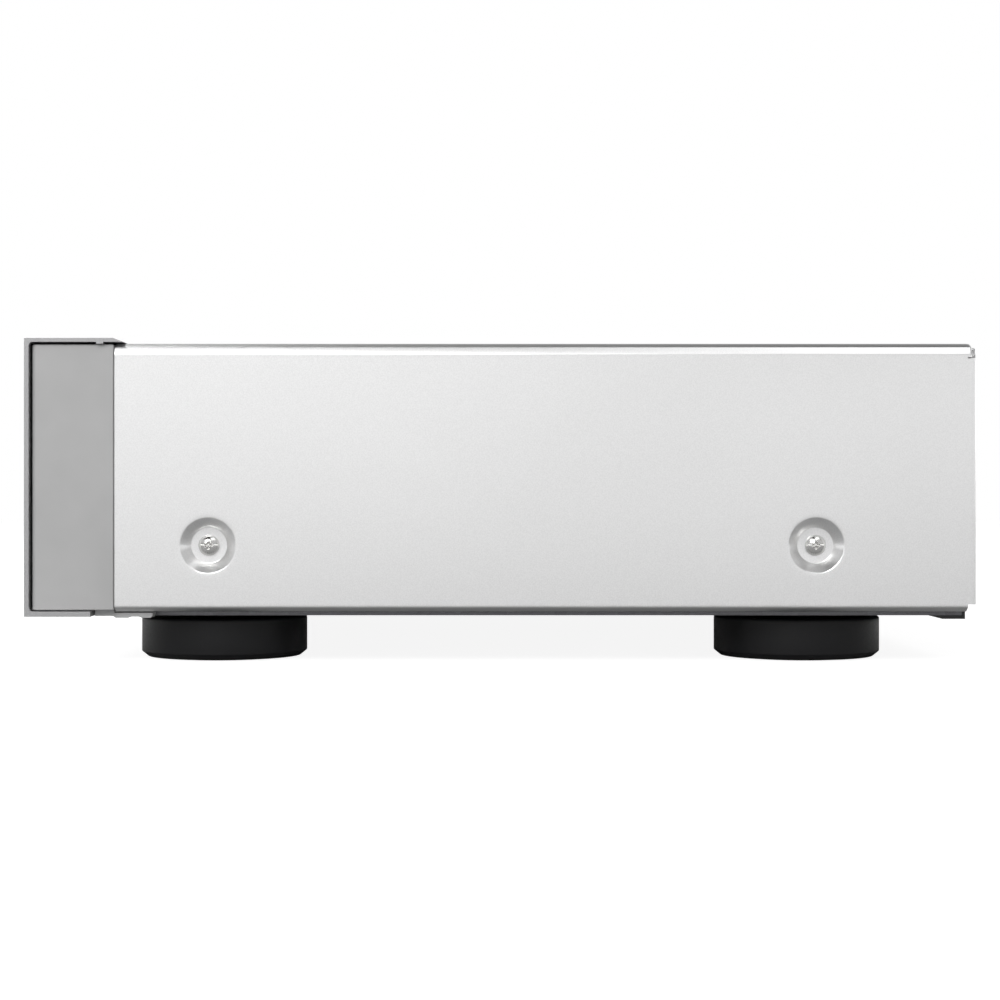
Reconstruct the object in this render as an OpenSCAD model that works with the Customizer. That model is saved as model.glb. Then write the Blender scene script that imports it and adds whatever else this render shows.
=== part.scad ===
// Full-width compact disc player.
// A folded steel case carries an extruded aluminium front, a drawer-loading disc
// mechanism, its boards, its jacks and four round feet.
// +X is the listener's right, +Y runs from the front to the back, +Z is up.
// The origin is on the shelf, under the middle of the player.

/* [Case] */
// Width over the aluminium front panel, the widest part
panel_w = 434; // [433:0.5:436]
// Width over the sides of the sheet steel cover
cover_w = 431; // [430.6:0.1:431.4]
// Height of the top of the front panel above the shelf
panel_top = 107; // [106.9:0.1:108]
// Height of the underside of the front panel above the shelf
panel_bottom = 15.8; // [15.7:0.1:16]
// Distance of the panel's face in front of the origin
panel_front = 155.6; // [155.5:0.1:156]
// Thickness of the folded steel sheet
sheet_t = 1; // [0.9:0.05:1]
// Height of the top of the cover above the shelf
cover_top = 105.6; // [105.5:0.05:105.6]
// Outer radius of the cover's top bends
top_bend = 4; // [3:0.5:5]
// Outer radius of the cover's bottom bends
hem_bend = 2.6; // [2.2:0.1:2.8]

/* [Side dimples] */
// Diameter of a screw dimple at the face of the cover
dimple_d = 18.2; // [17:0.1:19]
// Diameter of the flat floor of a dimple
dimple_floor_d = 11.8; // [11:0.1:12.4]
// Depth of a dimple
dimple_depth = 3; // [2.8:0.1:3]
// Height of the dimples above the shelf
dimple_z = 39.1; // [38:0.1:42]
// Places of the two dimples of a side, from front to back
dimple_ys = [-95.7, 103.7];

/* [Feet] */
// Diameter of a foot
foot_d = 56.8; // [54:0.2:57]
// Height of a foot's upper rim above the shelf
foot_top = 14.1; // [13.6:0.1:14.3]
// Width of the bevel round a foot's lower edge
foot_bevel = 2.2; // [1:0.1:3]
// Distance of the feet to the left and right of the origin
foot_x = 176; // [172:0.5:176]
// Places of the front and the rear feet
foot_ys = [-95.5, 102.8];

/* [Front layout] */
// Height of the middle of the drawer and of the upper buttons
drawer_z = 82; // [82:0.1:82.2]
// Width of the drawer's door
door_w = 155.2; // [150:0.2:155.2]
// Height of the drawer's door
door_h = 19.2; // [18.8:0.2:19.2]
// Width of the display window
window_w = 155.4; // [150:0.2:155.4]
// Height of the display window
window_h = 29.4; // [28:0.2:29.4]
// Height of the middle of the display window
window_z = 49; // [48.8:0.1:49.2]
// Height of the middle of the sockets and of the level knob
socket_z = 40; // [39.5:0.1:40.5]
// Diameter of the small round buttons
small_button_d = 14; // [13:0.5:15]
// Diameter of the play button
play_button_d = 23; // [21:0.5:24]
// Diameter of the level knob
knob_d = 18; // [16:0.5:20]

/* [Disc mechanism] */
// Place of the disc's axis, from front to back
disc_y = -80; // [-80.2:0.1:-79.8]
// Diameter of the drawer's disc recess
recess_d = 121; // [120.6:0.1:121.4]
// Module of the loading gears
load_module = 1.25; // [1.25]
// Module of the feed rack and its pinion
feed_module = 0.8; // [0.8]
// Module of the feed reduction
fine_module = 0.6; // [0.6]
// Travel of the cam slide
cam_travel = 26; // [26]
// Angle through which the traverse drops, in degrees
traverse_drop = 5.3; // [5:0.1:5.3]

/* [Hidden] */

$fn = 64;
silver = [0.78, 0.78, 0.78];
steel = [0.7, 0.71, 0.72];
black = [0.06, 0.06, 0.06];
dark = [0.16, 0.16, 0.17];
grey = [0.55, 0.55, 0.55];
white = [0.88, 0.88, 0.86];
board_green = [0.12, 0.33, 0.2];
gold = [0.83, 0.68, 0.35];
film = [0.85, 0.86, 0.9];

gap = 0.1;

// Front panel: an extrusion with a face, a top wall with a sloping lip, and a floor
panel_face = -panel_front;
panel_wall = 1.5;
panel_back = panel_face + panel_wall;
panel_top_wall = 1.3;
panel_floor_wall = 1.7;
panel_top_rear = -126.5;
panel_floor_rear = -134;
panel_lip_rear = -123.4;
panel_fillet = 1.3;

// Cover
cover_x = cover_w/2;
cover_bottom = 17;
cover_front = -126.3;
cover_rear = 154.9;
cover_hem_x = cover_x - 9;
hem_rear = 153.3;
flange_rear = 156;
flange_bottom = 19.8;
flange_top = 100.35;
flange_in = 10;

// Base
base_x = cover_x - 4.1;
floor_z = 15.6;
floor_top = floor_z + sheet_t;
floor_x = 204.5;
ledge_z = 18.1;
base_front = -126.8;
base_rear = 153.8;
base_wall_top = 60;
front_flange_top = 30;
rear_flange_top = 26;

// Rear panel
back_y = base_rear + gap;
back_face = back_y + sheet_t;
back_top = 100.3;
side_screw_x = cover_x - 7;
side_screw_zs = [30, 62, 94];
low_screw_xs = [-190, -80, 0, 72, 190];
low_screw_z = 22.5;

// Boards
board_z = 27;
board_t = 1.6;
board_top = board_z + board_t;
main_board_at = [[84, 10], [206, 149]];
power_board_at = [[-206, 20], [-84, 149]];
board_inset = 5;

// Transformer
transformer_screw_xs = [-180, -110];
transformer_screw_ys = [-81, -39];

// Rear sockets
rca_r = 4.15;
rca_end = 165.4;
rca_x = 150;
rca_zs = [66, 50];
coax_x = 122;
coax_z = 40;
optical_x = 102;
optical_z = 40;
inlet_x = -165;
inlet_z = 50;

// Front frame and display
frame_front = -152.2;
frame_back = -150.2;
frame_x = 212.3;
frame_bottom = 18.2;
frame_top = 104.8;
cap_bottom = 17.85;
cap_top = 105;
frame_rear = base_front - gap;
wiring_front = -141.5;
wiring_back = wiring_front + board_t;

// Buttons: the place of each on the panel
power_at = [-186, drawer_z];
open_close_at = [114, drawer_z];
play_at = [152, 48];
stop_at = [186, 48];
skip_back_at = [102, 48];
skip_forward_at = [123, 48];
led_at = [-186, 66];
usb_at = [-186, socket_z];
knob_at = [-153, socket_z];
phones_at = [-122, socket_z];
button_proud = 2;
button_gap = 0.35;
button_flange = 1.2;
pill_w = 26;
pill_h = 9;

// Drawer
tray_x = 66;
tray_front = -151;
tray_rear = 50;
tray_bottom = 79.6;
tray_top = 86;
disc_floor = 83.2;
small_disc_floor = 81.6;
slot_x = 22;
rail_x = 70;
rail_top = 83.6;
rack_bottom = 75.2;

// Loading gears
load_x = -52;
tray_gear_y = -100;
tray_pinion_teeth = 16;
tray_wheel_teeth = 28;
pulley_teeth = 12;
pulley_gear_y = tray_gear_y + (tray_wheel_teeth + pulley_teeth)*load_module/2;
motor_y = -38;
pulley_r = 15.5;
motor_pulley_r = 4;
belt_t = 1.2;

// Belt grooves: radius of the floor of each, and the height of the belt's middle
big_groove = pulley_r - 1.5;
small_groove = motor_pulley_r - 0.6;
belt_z = 57;

// Loader frame
loader_x = 75;
loader_in = 71;
loader_front = -121;
loader_rear = 58;
deck_z = 46.5;
deck_top = 49;
loader_top = 89.4;
leg_at = [[-66, -112], [66, -112], [-66, 50], [66, 50]];

// Traverse
pivot_y = 18;
pivot_z = 67.25;
plate_z = 66;
plate_top = 68.5;
traverse_x = [-32, 44];
traverse_y = [-110, 22];
cam_y = -115.25;
cam_pin_x = 6;
cam_drop = (pivot_y - cam_y)*sin(traverse_drop);
cam_slope = atan2(cam_drop, cam_travel);
rod_x = 18;
rod_z = 71;
lens_y = disc_y + 25;
hub_plane = 85.2;
feed_rack_x = 26;
feed_gear_teeth = 14;
feed_wheel_teeth = 28;
feed_pinion_teeth = 10;
feed_gear_at = [feed_rack_x + feed_gear_teeth*feed_module/2, -28];
feed_motor_at = [
    feed_gear_at.x,
    feed_gear_at.y - (feed_wheel_teeth + feed_pinion_teeth)*fine_module/2
];

// ---- Shapes that repeat ----

// Points along an arc about (cx, cy), from angle a0 to angle a1
function arc(cx, cy, r, a0, a1, n = 8) =
    [for (i = [0:n]) let (a = a0 + (a1 - a0)*i/n) [cx + r*cos(a), cy + r*sin(a)]];

// Outline of a rectangle with round corners, centred on (cx, cy)
function round_rect(cx, cy, w, h, r, n = 6) = let (x = w/2 - r, y = h/2 - r) concat(
    arc(cx + x, cy + y, r, 0, 90, n),
    arc(cx - x, cy + y, r, 90, 180, n),
    arc(cx - x, cy - y, r, 180, 270, n),
    arc(cx + x, cy - y, r, 270, 360, n)
);

// Mirrors a path left to right and reverses it, to close a symmetrical section
function mirrored(path) = [for (i = [len(path) - 1:-1:0]) [-path[i].x, path[i].y]];

module block(lo, hi) translate(lo) cube(hi - lo);
module along_x(x0, x1) translate([x0, 0, 0]) rotate([90, 0, 90]) linear_extrude(x1 - x0) children();
module along_y(y0, y1) translate([0, y1, 0]) rotate([90, 0, 0]) linear_extrude(y1 - y0) children();
module along_z(z0, z1) translate([0, 0, z0]) linear_extrude(z1 - z0) children();
module rod_along_x(y, z, r, x0, x1) translate([x0, y, z]) rotate([0, 90, 0]) cylinder(r = r, h = x1 - x0);
module rod_along_y(x, z, r, y0, y1) translate([x, y1, z]) rotate([90, 0, 0]) cylinder(r = r, h = y1 - y0);
module rod_along_z(x, y, r, z0, z1) translate([x, y, z0]) cylinder(r = r, h = z1 - z0);
module both_sides() for (side = [0, 1]) mirror([side, 0, 0]) children();

// Pan-head screw pointing down: the head's flat underside is at z = 0
module pan_screw(head_r, head_h, shaft_r, length) {
    sphere_r = (head_r*head_r + head_h*head_h)/(2*head_h);
    recess = 0.62*head_h;
    difference() {
        intersection() {
            translate([0, 0, head_h - sphere_r]) sphere(r = sphere_r);
            cylinder(r = head_r + 0.01, h = 2*head_h);
        }
        for (turn = [0, 90])
            rotate(turn) translate([-0.55*head_r, -0.11*head_r, head_h - recess])
                cube([1.1*head_r, 0.22*head_r, 2*recess]);
    }
    translate([0, 0, -length]) cylinder(r = shaft_r, h = length + 0.05);
}

// Round motor can with its bearing hole, shaft end at the top
module motor_can(at, r, z0, z1, bearing_r) difference() {
    union() {
        rod_along_z(at.x, at.y, r, z0 + 1, z1);
        rod_along_z(at.x, at.y, r*0.45, z0, z0 + 1.1);
    }
    rod_along_z(at.x, at.y, bearing_r, z1 - 8, z1 + 1);
}

// ---- Gears ----
pressure = 25;
addendum = 0.85;
dedendum = 1.15;
backlash = 0.09;

// Involute function, in degrees
function inv(a) = tan(a)*180/PI - a;

// Half the angle of a tooth at radius r
function tooth_half(m, teeth, r) = let (base = m*teeth/2*cos(pressure))
    90/teeth - backlash*180/PI/teeth + inv(pressure) - (r > base ? inv(acos(base/r)) : 0);

// One gear outline, with a tooth centred on angle phase
function gear_outline(m, teeth, phase = 0) = let (
    pitch = m*teeth/2,
    root = pitch - dedendum*m,
    tip = pitch + addendum*m,
    start = max(root, pitch*cos(pressure)),
    radii = [for (i = [0:3]) start + (tip - start)*i/3]
) [
    for (tooth = [0:teeth - 1]) let (middle = phase + 360*tooth/teeth)
        each concat(
            [for (r = concat([root], radii))
                let (a = middle - tooth_half(m, teeth, r)) [r*cos(a), r*sin(a)]],
            [for (i = [3:-1:-1])
                let (r = i < 0 ? root : radii[i], a = middle + tooth_half(m, teeth, r))
                [r*cos(a), r*sin(a)]]
        )
];

module gear(m, teeth, phase, z0, z1) along_z(z0, z1) polygon(gear_outline(m, teeth, phase));

// Rack teeth facing +X along Y: pitch line at x, one tooth centred on y_tooth
module rack(m, x, back_x, y_tooth, before, after, z0, z1) {
    pitch = PI*m;
    tip = addendum*m;
    root = dedendum*m;
    half = pitch/4 - backlash*m/2;
    teeth = [for (i = [-before:after]) y_tooth + i*pitch];
    along_z(z0, z1) polygon(concat(
        [[back_x, teeth[0] - pitch/2], [x - root, teeth[0] - pitch/2]],
        [for (y = teeth) each [
            [x - root, y - half - root*tan(pressure)],
            [x + tip, y - half + tip*tan(pressure)],
            [x + tip, y + half - tip*tan(pressure)],
            [x - root, y + half + root*tan(pressure)]
        ]],
        [[x - root, teeth[len(teeth) - 1] + pitch/2], [back_x, teeth[len(teeth) - 1] + pitch/2]]
    ));
}

// ---- Case ----
board_holes = [for (area = [main_board_at, power_board_at])
    each [for (x = [area[0].x + board_inset, area[1].x - board_inset],
               y = [area[0].y + board_inset, area[1].y - board_inset]) [x, y]]];

// Right half of the base's section, from the floor's outside round to its inside
base_half = [
    [floor_x, floor_z], [floor_x, ledge_z], [base_x, ledge_z], [base_x, base_wall_top],
    [base_x - sheet_t, base_wall_top], [base_x - sheet_t, ledge_z + sheet_t],
    [floor_x - sheet_t, ledge_z + sheet_t], [floor_x - sheet_t, floor_top]
];

module base_chassis() color(steel) difference() {
    union() {
        along_y(base_front, base_rear) polygon(concat(base_half, mirrored(base_half)));
        block([-floor_x + sheet_t/2, base_front, floor_z + sheet_t/2],
              [floor_x - sheet_t/2, base_front + sheet_t, front_flange_top]);
        block([-floor_x + sheet_t/2, base_rear - sheet_t, floor_z + sheet_t/2],
              [floor_x - sheet_t/2, base_rear, rear_flange_top]);
        for (at = board_holes) rod_along_z(at.x, at.y, 3, floor_z + sheet_t/2, board_z);
    }
    for (x = [-foot_x, foot_x], y = foot_ys) rod_along_z(x, y, 2, floor_z - 1, floor_top + 1);
    for (at = board_holes) rod_along_z(at.x, at.y, 1.3, floor_z - 1, board_z + 1);
    for (at = leg_at) rod_along_z(at.x, at.y, 1.6, floor_z - 1, floor_top + 1);
    both_sides() for (y = dimple_ys) rod_along_x(y, dimple_z, 1.6, base_x - 2, base_x + 1);
    for (x = low_screw_xs) rod_along_y(x, low_screw_z, 1.3, base_rear - 2, base_rear + 1);
    for (row = [0, 1], i = [0:11])
        block([-46 + i*8, -70 + row*60, floor_z - 1], [-43 + i*8, -30 + row*60, floor_top + 1]);
}

// Right half of the cover's outside or inside line, from height z up to the top
function cover_line(z, inset) = concat(
    z > cover_bottom ? [[cover_x - inset, z]] : concat(
        [[cover_hem_x, cover_bottom + inset]],
        arc(cover_x - hem_bend, cover_bottom + hem_bend, hem_bend - inset, -90, 0, 6)
    ),
    arc(cover_x - top_bend, cover_top - top_bend, top_bend - inset, 0, 90, 8)
);
function reversed(path) = [for (i = [len(path) - 1:-1:0]) path[i]];
function cover_section(z) = let (inner = reversed(cover_line(z, sheet_t))) concat(
    cover_line(z, 0), mirrored(cover_line(z, 0)), mirrored(inner), inner
);

module top_cover() color(silver) difference() {
    union() {
        along_y(cover_front, hem_rear) polygon(cover_section(cover_bottom));
        along_y(hem_rear - 0.1, cover_rear) polygon(cover_section(flange_bottom));
        along_y(back_y, cover_rear) polygon(concat(
            cover_line(flange_top + 0.25, 0.3), mirrored(cover_line(flange_top + 0.25, 0.3))
        ));
        both_sides() {
            block([cover_x - sheet_t, cover_rear - 1, flange_bottom],
                  [cover_x, flange_rear, flange_top]);
            block([cover_x - flange_in, back_face + 0.1, flange_bottom],
                  [cover_x, flange_rear, flange_top]);
            for (y = dimple_ys)
                translate([cover_x - sheet_t - dimple_depth, y, dimple_z]) rotate([0, 90, 0])
                    cylinder(r1 = dimple_floor_d/2 + 0.6, r2 = dimple_d/2 + 0.9, h = dimple_depth);
        }
    }
    both_sides() {
        for (y = dimple_ys) {
            translate([cover_x - dimple_depth, y, dimple_z]) rotate([0, 90, 0])
                cylinder(r1 = dimple_floor_d/2, r2 = dimple_d/2, h = dimple_depth);
            rod_along_x(y, dimple_z, 2, base_x - 1, cover_x);
        }
        for (z = side_screw_zs) rod_along_y(side_screw_x, z, 1.7, cover_rear - 1, flange_rear + 1);
    }
}

module rear_panel() color(dark) difference() {
    union() {
        block([-cover_x + 2, back_y, flange_bottom], [cover_x - 2, back_face, back_top]);
        block([-floor_x, back_y, 14.4], [floor_x, back_face, flange_bottom + 1]);
        along_x(-floor_x, floor_x)
            polygon([[back_face, 14.4], [back_face, 15.5], [143, 15.5], [147.4, 14.4]]);
    }
    for (z = rca_zs) rod_along_y(rca_x, z, 6.6, back_y - 1, back_face + 1);
    rod_along_y(coax_x, coax_z, 6.6, back_y - 1, back_face + 1);
    block([optical_x - 6.3, back_y - 1, optical_z - 6.3], [optical_x + 6.3, back_face + 1, optical_z + 6.8]);
    block([inlet_x - 14.2, back_y - 1, inlet_z - 10.2], [inlet_x + 14.2, back_face + 1, inlet_z + 10.2]);
    for (side = [-1, 1]) rod_along_y(inlet_x + side*20, inlet_z, 1.5, back_y - 1, back_face + 1);
    both_sides() for (z = side_screw_zs) rod_along_y(side_screw_x, z, 1.3, back_y - 1, back_face + 1);
    for (x = low_screw_xs) rod_along_y(x, low_screw_z, 1.3, back_y - 1, back_face + 1);
}

// The openings of the front, each widened by grow all round
module drawer_opening(grow)
    polygon(round_rect(0, drawer_z, door_w + 0.8 + 2*grow, door_h + 0.8 + 2*grow, 1 + grow));
module window_opening(grow)
    polygon(round_rect(0, window_z, window_w + 0.4 + 2*grow, window_h + 0.4 + 2*grow, 1.2 + grow));
module button_openings(grow) {
    for (at = [stop_at, skip_back_at, skip_forward_at, power_at])
        translate(at) circle(r = small_button_d/2 + button_gap + grow);
    translate(play_at) circle(r = play_button_d/2 + button_gap + grow);
    translate(open_close_at) pill(button_gap + grow);
}
module pill(grow) {
    square([pill_w - pill_h, pill_h + 2*grow], center = true);
    for (side = [-1, 1]) translate([side*(pill_w - pill_h)/2, 0]) circle(r = pill_h/2 + grow);
}

module front_panel() color(silver) difference() {
    along_x(-panel_w/2, panel_w/2) polygon(concat(
        [[panel_face, panel_bottom], [panel_floor_rear, panel_bottom],
         [panel_floor_rear, panel_bottom + panel_floor_wall]],
        arc(panel_back + panel_fillet, panel_bottom + panel_floor_wall + panel_fillet,
            panel_fillet, 270, 180, 4),
        arc(panel_back + panel_fillet, panel_top - panel_top_wall - panel_fillet,
            panel_fillet, 180, 90, 4),
        [[-132, panel_top - panel_top_wall], [-132, panel_top - 1.9],
         [-129.7, panel_top - 1.9], [-129.7, panel_top - panel_top_wall],
         [panel_lip_rear, panel_top - panel_top_wall], [panel_lip_rear, cover_top + 0.2],
         [panel_top_rear, panel_top], [panel_face, panel_top]]
    ));
    along_y(panel_face - 1, panel_back + 1) {
        drawer_opening(0);
        window_opening(0);
        button_openings(0);
        translate(led_at) circle(r = 1.25);
        translate(usb_at) square([13.5, 6.1], center = true);
        translate(knob_at) circle(r = 4.3);
        translate(phones_at) circle(r = 4.7);
    }
}

module front_frame() color(dark) {
    difference() {
        union() {
            block([-frame_x, frame_front, frame_bottom], [frame_x, frame_back, frame_top]);
            block([-frame_x, frame_back - 1, frame_top - 2], [frame_x, frame_rear, frame_top]);
            block([-frame_x, frame_back - 1, frame_bottom], [frame_x, frame_rear, frame_bottom + 2]);
            both_sides()
                block([frame_x - 2, frame_back - 1, frame_bottom], [frame_x, frame_rear, frame_top]);
        }
        along_y(frame_front - 1, frame_back + 1) {
            drawer_opening(0.6);
            translate([0, window_z]) square([124, 26], center = true);
            button_openings(button_flange + 0.4);
            translate(led_at) circle(r = 1.4);
            translate(usb_at) square([13.7, 6.3], center = true);
            translate(knob_at) circle(r = 4.3);
            translate(phones_at) circle(r = 4.7);
        }
    }
    block([-frame_x, -133.3, panel_bottom], [frame_x, frame_rear, frame_bottom + 0.1]);
    both_sides() along_x(205.2, frame_x) polygon([
        [-127.4, 16.9], [-127.4, 15.8], [-126.5, 15.2], [-122.5, 15.2], [-121.5, 15.6],
        [-118.8, 15.6], [-118, 15.2], [-115, 15.2], [-114.4, 15.8], [-114.4, 16.9]
    ]);
}

module end_cap() along_z(cap_bottom, cap_top) polygon([
    [frame_x + gap, -153.5], [214.4, -153.5], [215.4, -152.5], [215.4, -126.6], [frame_x + gap, -126.6]
]);
module end_cap_right() color(grey) end_cap();
module end_cap_left() color(grey) mirror([1, 0, 0]) end_cap();

module display_window() color([0.1, 0.1, 0.12]) {
    along_y(-155.3, -153) polygon(round_rect(0, window_z, window_w, window_h, 1));
    along_y(panel_back + gap, -152.4) polygon(round_rect(0, window_z, 160, 34, 2));
}

// ---- Feet and screws ----
module foot(x, y) color(black) translate([x, y, 0]) rotate_extrude() polygon([
    [2.1, floor_z], [10, floor_z], [10, foot_top], [foot_d/2, foot_top],
    [foot_d/2, 0.4 + foot_bevel*0.82], [foot_d/2 - foot_bevel, 0.4],
    [22.2, 0.4], [22.2, 1.6], [8, 1.6], [8, 9], [2.1, 9]
]);
module foot_front_left() foot(-foot_x, foot_ys[0]);
module foot_front_right() foot(foot_x, foot_ys[0]);
module foot_rear_left() foot(-foot_x, foot_ys[1]);
module foot_rear_right() foot(foot_x, foot_ys[1]);

module foot_pads() color(dark) for (x = [-foot_x, foot_x], y = foot_ys) difference() {
    rod_along_z(x, y, 22, 0, 1.6);
    rod_along_z(x, y, 8.2, -1, 2);
}

module foot_screws() color(steel) for (x = [-foot_x, foot_x], y = foot_ys)
    translate([x, y, 9]) rotate([180, 0, 0]) pan_screw(4, 2.6, 1.9, 11);

module side_screws() color(steel) both_sides() for (y = dimple_ys)
    translate([cover_x - dimple_depth, y, dimple_z]) rotate([0, 90, 0]) pan_screw(3.42, 2.2, 1.5, 8);

module rear_screws() color(steel) {
    both_sides() for (z = side_screw_zs)
        translate([side_screw_x, flange_rear, z]) rotate([-90, 0, 0]) pan_screw(2.6, 0.8, 1.2, 8);
    for (x = low_screw_xs)
        translate([x, back_face, low_screw_z]) rotate([-90, 0, 0]) pan_screw(2.8, 1.9, 1.2, 6);
    for (side = [-1, 1])
        translate([inlet_x + side*20, back_face + 2.5, inlet_z]) rotate([-90, 0, 0])
            pan_screw(2.8, 1.9, 1.4, 8);
}

module inner_screws() color(steel) {
    for (at = board_holes) translate([at.x, at.y, board_top]) pan_screw(2.8, 1.9, 1.2, 8);
    for (at = leg_at) translate([at.x, at.y, floor_z]) rotate([180, 0, 0]) pan_screw(2.8, 1.9, 1.4, 9);
    for (x = transformer_screw_xs, y = transformer_screw_ys)
        translate([x, y, floor_top + 1.5]) pan_screw(2.6, 1.9, 1.4, 1.4);
    for (x = [-73, 73], y = [-92, -68]) translate([x, y, loader_top + 1.6]) pan_screw(1.7, 1.2, 0.9, 6);
}

// ---- Boards and power ----
module board(area) difference() {
    block([area[0].x, area[0].y, board_z], [area[1].x, area[1].y, board_top]);
    for (at = board_holes) rod_along_z(at.x, at.y, 1.4, board_z - 1, board_top + 1);
}
module main_board() color(board_green) board(main_board_at);
module power_board() color([0.62, 0.5, 0.28]) board(power_board_at);

// Every capacitor: place, radius and height; every chip: place, size and height
main_cans = [[190, 40, 5, 14], [190, 54, 5, 14], [190, 68, 5, 14], [176, 100, 4, 9],
             [176, 112, 4, 9], [188, 100, 4, 9], [188, 112, 4, 9], [98, 36, 3, 8], [98, 46, 3, 8]];
power_cans = [[-176, 60, 11, 30], [-150, 60, 11, 30], [-124, 60, 8, 24], [-124, 82, 5, 16],
              [-110, 82, 5, 16], [-100, 60, 5, 14]];
chips = [[140, 50, 20, 20], [118, 84, 14, 10], [150, 84, 18, 12], [150, 112, 10, 6], [118, 112, 8, 5]];
module board_parts() color(dark) {
    for (can = concat(main_cans, power_cans)) {
        rod_along_z(can[0], can[1], can[2], board_top, board_top + can[3] - 0.6);
        rod_along_z(can[0], can[1], can[2] - 0.8, board_top, board_top + can[3]);
    }
    for (chip = chips)
        block([chip[0] - chip[2]/2, chip[1] - chip[3]/2, board_top],
              [chip[0] + chip[2]/2, chip[1] + chip[3]/2, board_top + 1.6]);
    rod_along_z(168, 30, 3.5, board_top, board_top + 3.4);
    block([-160, 92, board_top], [-118, 94.5, board_top + 32]);
    for (i = [0:6]) block([-159 + i*6.5, 94, board_top + 4], [-157.8 + i*6.5, 106, board_top + 32]);
    block([-196, 92, board_top], [-182, 112, board_top + 17]);
    rod_along_y(-198, board_top + 2.6, 2.6, 46, 66);
}

module transformer() color([0.3, 0.3, 0.32]) {
    difference() {
        block([-184, -90, floor_top], [-106, -30, floor_top + 1.5]);
        for (x = transformer_screw_xs, y = transformer_screw_ys)
            rod_along_z(x, y, 1.5, floor_top - 1, floor_top + 3);
    }
    block([-174, -84, floor_top + 1.4], [-116, -78, 64]);
    block([-174, -42, floor_top + 1.4], [-116, -36, 64]);
    block([-174, -84, 55], [-116, -36, 64]);
    block([-174, -84, floor_top + 1.4], [-116, -36, 27]);
    block([-158, -79, 26], [-132, -41, 56]);
    block([-170, -73, 30], [-120, -47, 52]);
}

// A flat cable along a path, given as the points of its middle line
module flat_cable(path, t) {
    last = len(path) - 1;
    polygon(concat([for (i = [0:last]) path[i] + [0, t/2]], [for (i = [last:-1:0]) path[i] - [0, t/2]]));
}
module ribbon_cables() color(film) {
    along_x(150, 170)
        flat_cable([[-139.8, 40], [-128, 38], [-60, 34], [0, 33.4], [14, 33.2]], 0.7);
    block([148, 13, board_top], [172, 18, board_top + 7]);
    along_y(118, 130) flat_cable([[-92, 34], [-60, 26], [60, 26], [92, 34]], 0.7);
    for (x = [-97, 92]) block([x, 116, board_top], [x + 5, 132, board_top + 7]);
}

// ---- Rear sockets ----
module rca(x, z) difference() {
    union() {
        rod_along_y(x, z, 6.4, 153, back_face + 1.6);
        rod_along_y(x, z, rca_r, 153, rca_end);
    }
    rod_along_y(x, z, 3.5, rca_end - 1, rca_end + 1);
    rod_along_y(x, z, 1.65, rca_end - 9, rca_end + 1);
}
module analog_output_jacks() color(gold) {
    block([rca_x - 8, 138, board_top], [rca_x + 8, 153.6, rca_zs[0] + 8]);
    for (z = rca_zs) rca(rca_x, z);
}
module coaxial_output_jack() color(gold) {
    block([coax_x - 8, 138, board_top], [coax_x + 8, 153.6, coax_z + 8]);
    rca(coax_x, coax_z);
}
module optical_output_jack() color(black) difference() {
    union() {
        block([optical_x - 7.5, 138, board_top], [optical_x + 7.5, 153.6, optical_z + 8]);
        block([optical_x - 6, 153, optical_z - 6], [optical_x + 6, 156.6, optical_z + 6.5]);
    }
    block([optical_x - 4.9, 143, optical_z - 5], [optical_x + 4.9, 158, optical_z + 5.3]);
    rod_along_x(155, optical_z + 4.4, 0.55, optical_x - 5.5, optical_x + 5.5);
}
module optical_shutter() color(dark) {
    block([optical_x - 4.6, 154.6, optical_z - 4.6], [optical_x + 4.6, 155.4, optical_z + 4.5]);
    rod_along_x(155, optical_z + 4.4, 0.5, optical_x - 5.4, optical_x + 5.4);
}
module ac_inlet() color(black) {
    difference() {
        union() {
            block([inlet_x - 14, 137, inlet_z - 10], [inlet_x + 14, 155, inlet_z + 10]);
            along_y(back_face, back_face + 2.5)
                polygon(round_rect(inlet_x, inlet_z, 48, 24, 4));
        }
        along_y(142.4, 160) polygon([
            [inlet_x - 12, inlet_z - 8.2], [inlet_x + 12, inlet_z - 8.2], [inlet_x + 12, inlet_z + 4],
            [inlet_x + 8, inlet_z + 8.2], [inlet_x - 8, inlet_z + 8.2], [inlet_x - 12, inlet_z + 4]
        ]);
        for (side = [-1, 1]) rod_along_y(inlet_x + side*20, inlet_z, 1.5, 150, 160);
    }
    for (side = [-1, 1])
        block([inlet_x + side*7 - 1, 130, inlet_z], [inlet_x + side*7 + 1, 155, inlet_z + 4]);
}

// ---- Front sockets and controls ----
module headphone_jack() color(black) difference() {
    union() {
        rod_along_y(phones_at.x, phones_at.y, 4.5, -156.6, -141);
        block([phones_at.x - 7, wiring_back + gap, phones_at.y - 7], [phones_at.x + 7, -123, phones_at.y + 7]);
        rod_along_y(phones_at.x, phones_at.y, 4.5, -142, -138);
    }
    rod_along_y(phones_at.x, phones_at.y, 3.25, -158, -124.6);
}

module level_potentiometer() color(steel) difference() {
    union() {
        rod_along_y(knob_at.x, knob_at.y, 4, -155.4, -139);
        block([knob_at.x - 8, wiring_back + gap, knob_at.y - 8], [knob_at.x + 8, -130, knob_at.y + 8]);
    }
    rod_along_y(knob_at.x, knob_at.y, 3.05, -158, -132);
}

module level_knob() color(silver) difference() {
    union() {
        translate([knob_at.x, -156.1, knob_at.y]) rotate([90, 0, 0]) {
            cylinder(r = knob_d/2, h = 8.5);
            translate([0, 0, 8.5]) cylinder(r1 = knob_d/2, r2 = knob_d/2 - 0.8, h = 0.8);
        }
        rod_along_y(knob_at.x, knob_at.y, 3, -157, -133);
    }
    block([knob_at.x - 0.5, -166, knob_at.y + 2], [knob_at.x + 0.5, -164.9, knob_at.y + 8]);
}

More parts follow.
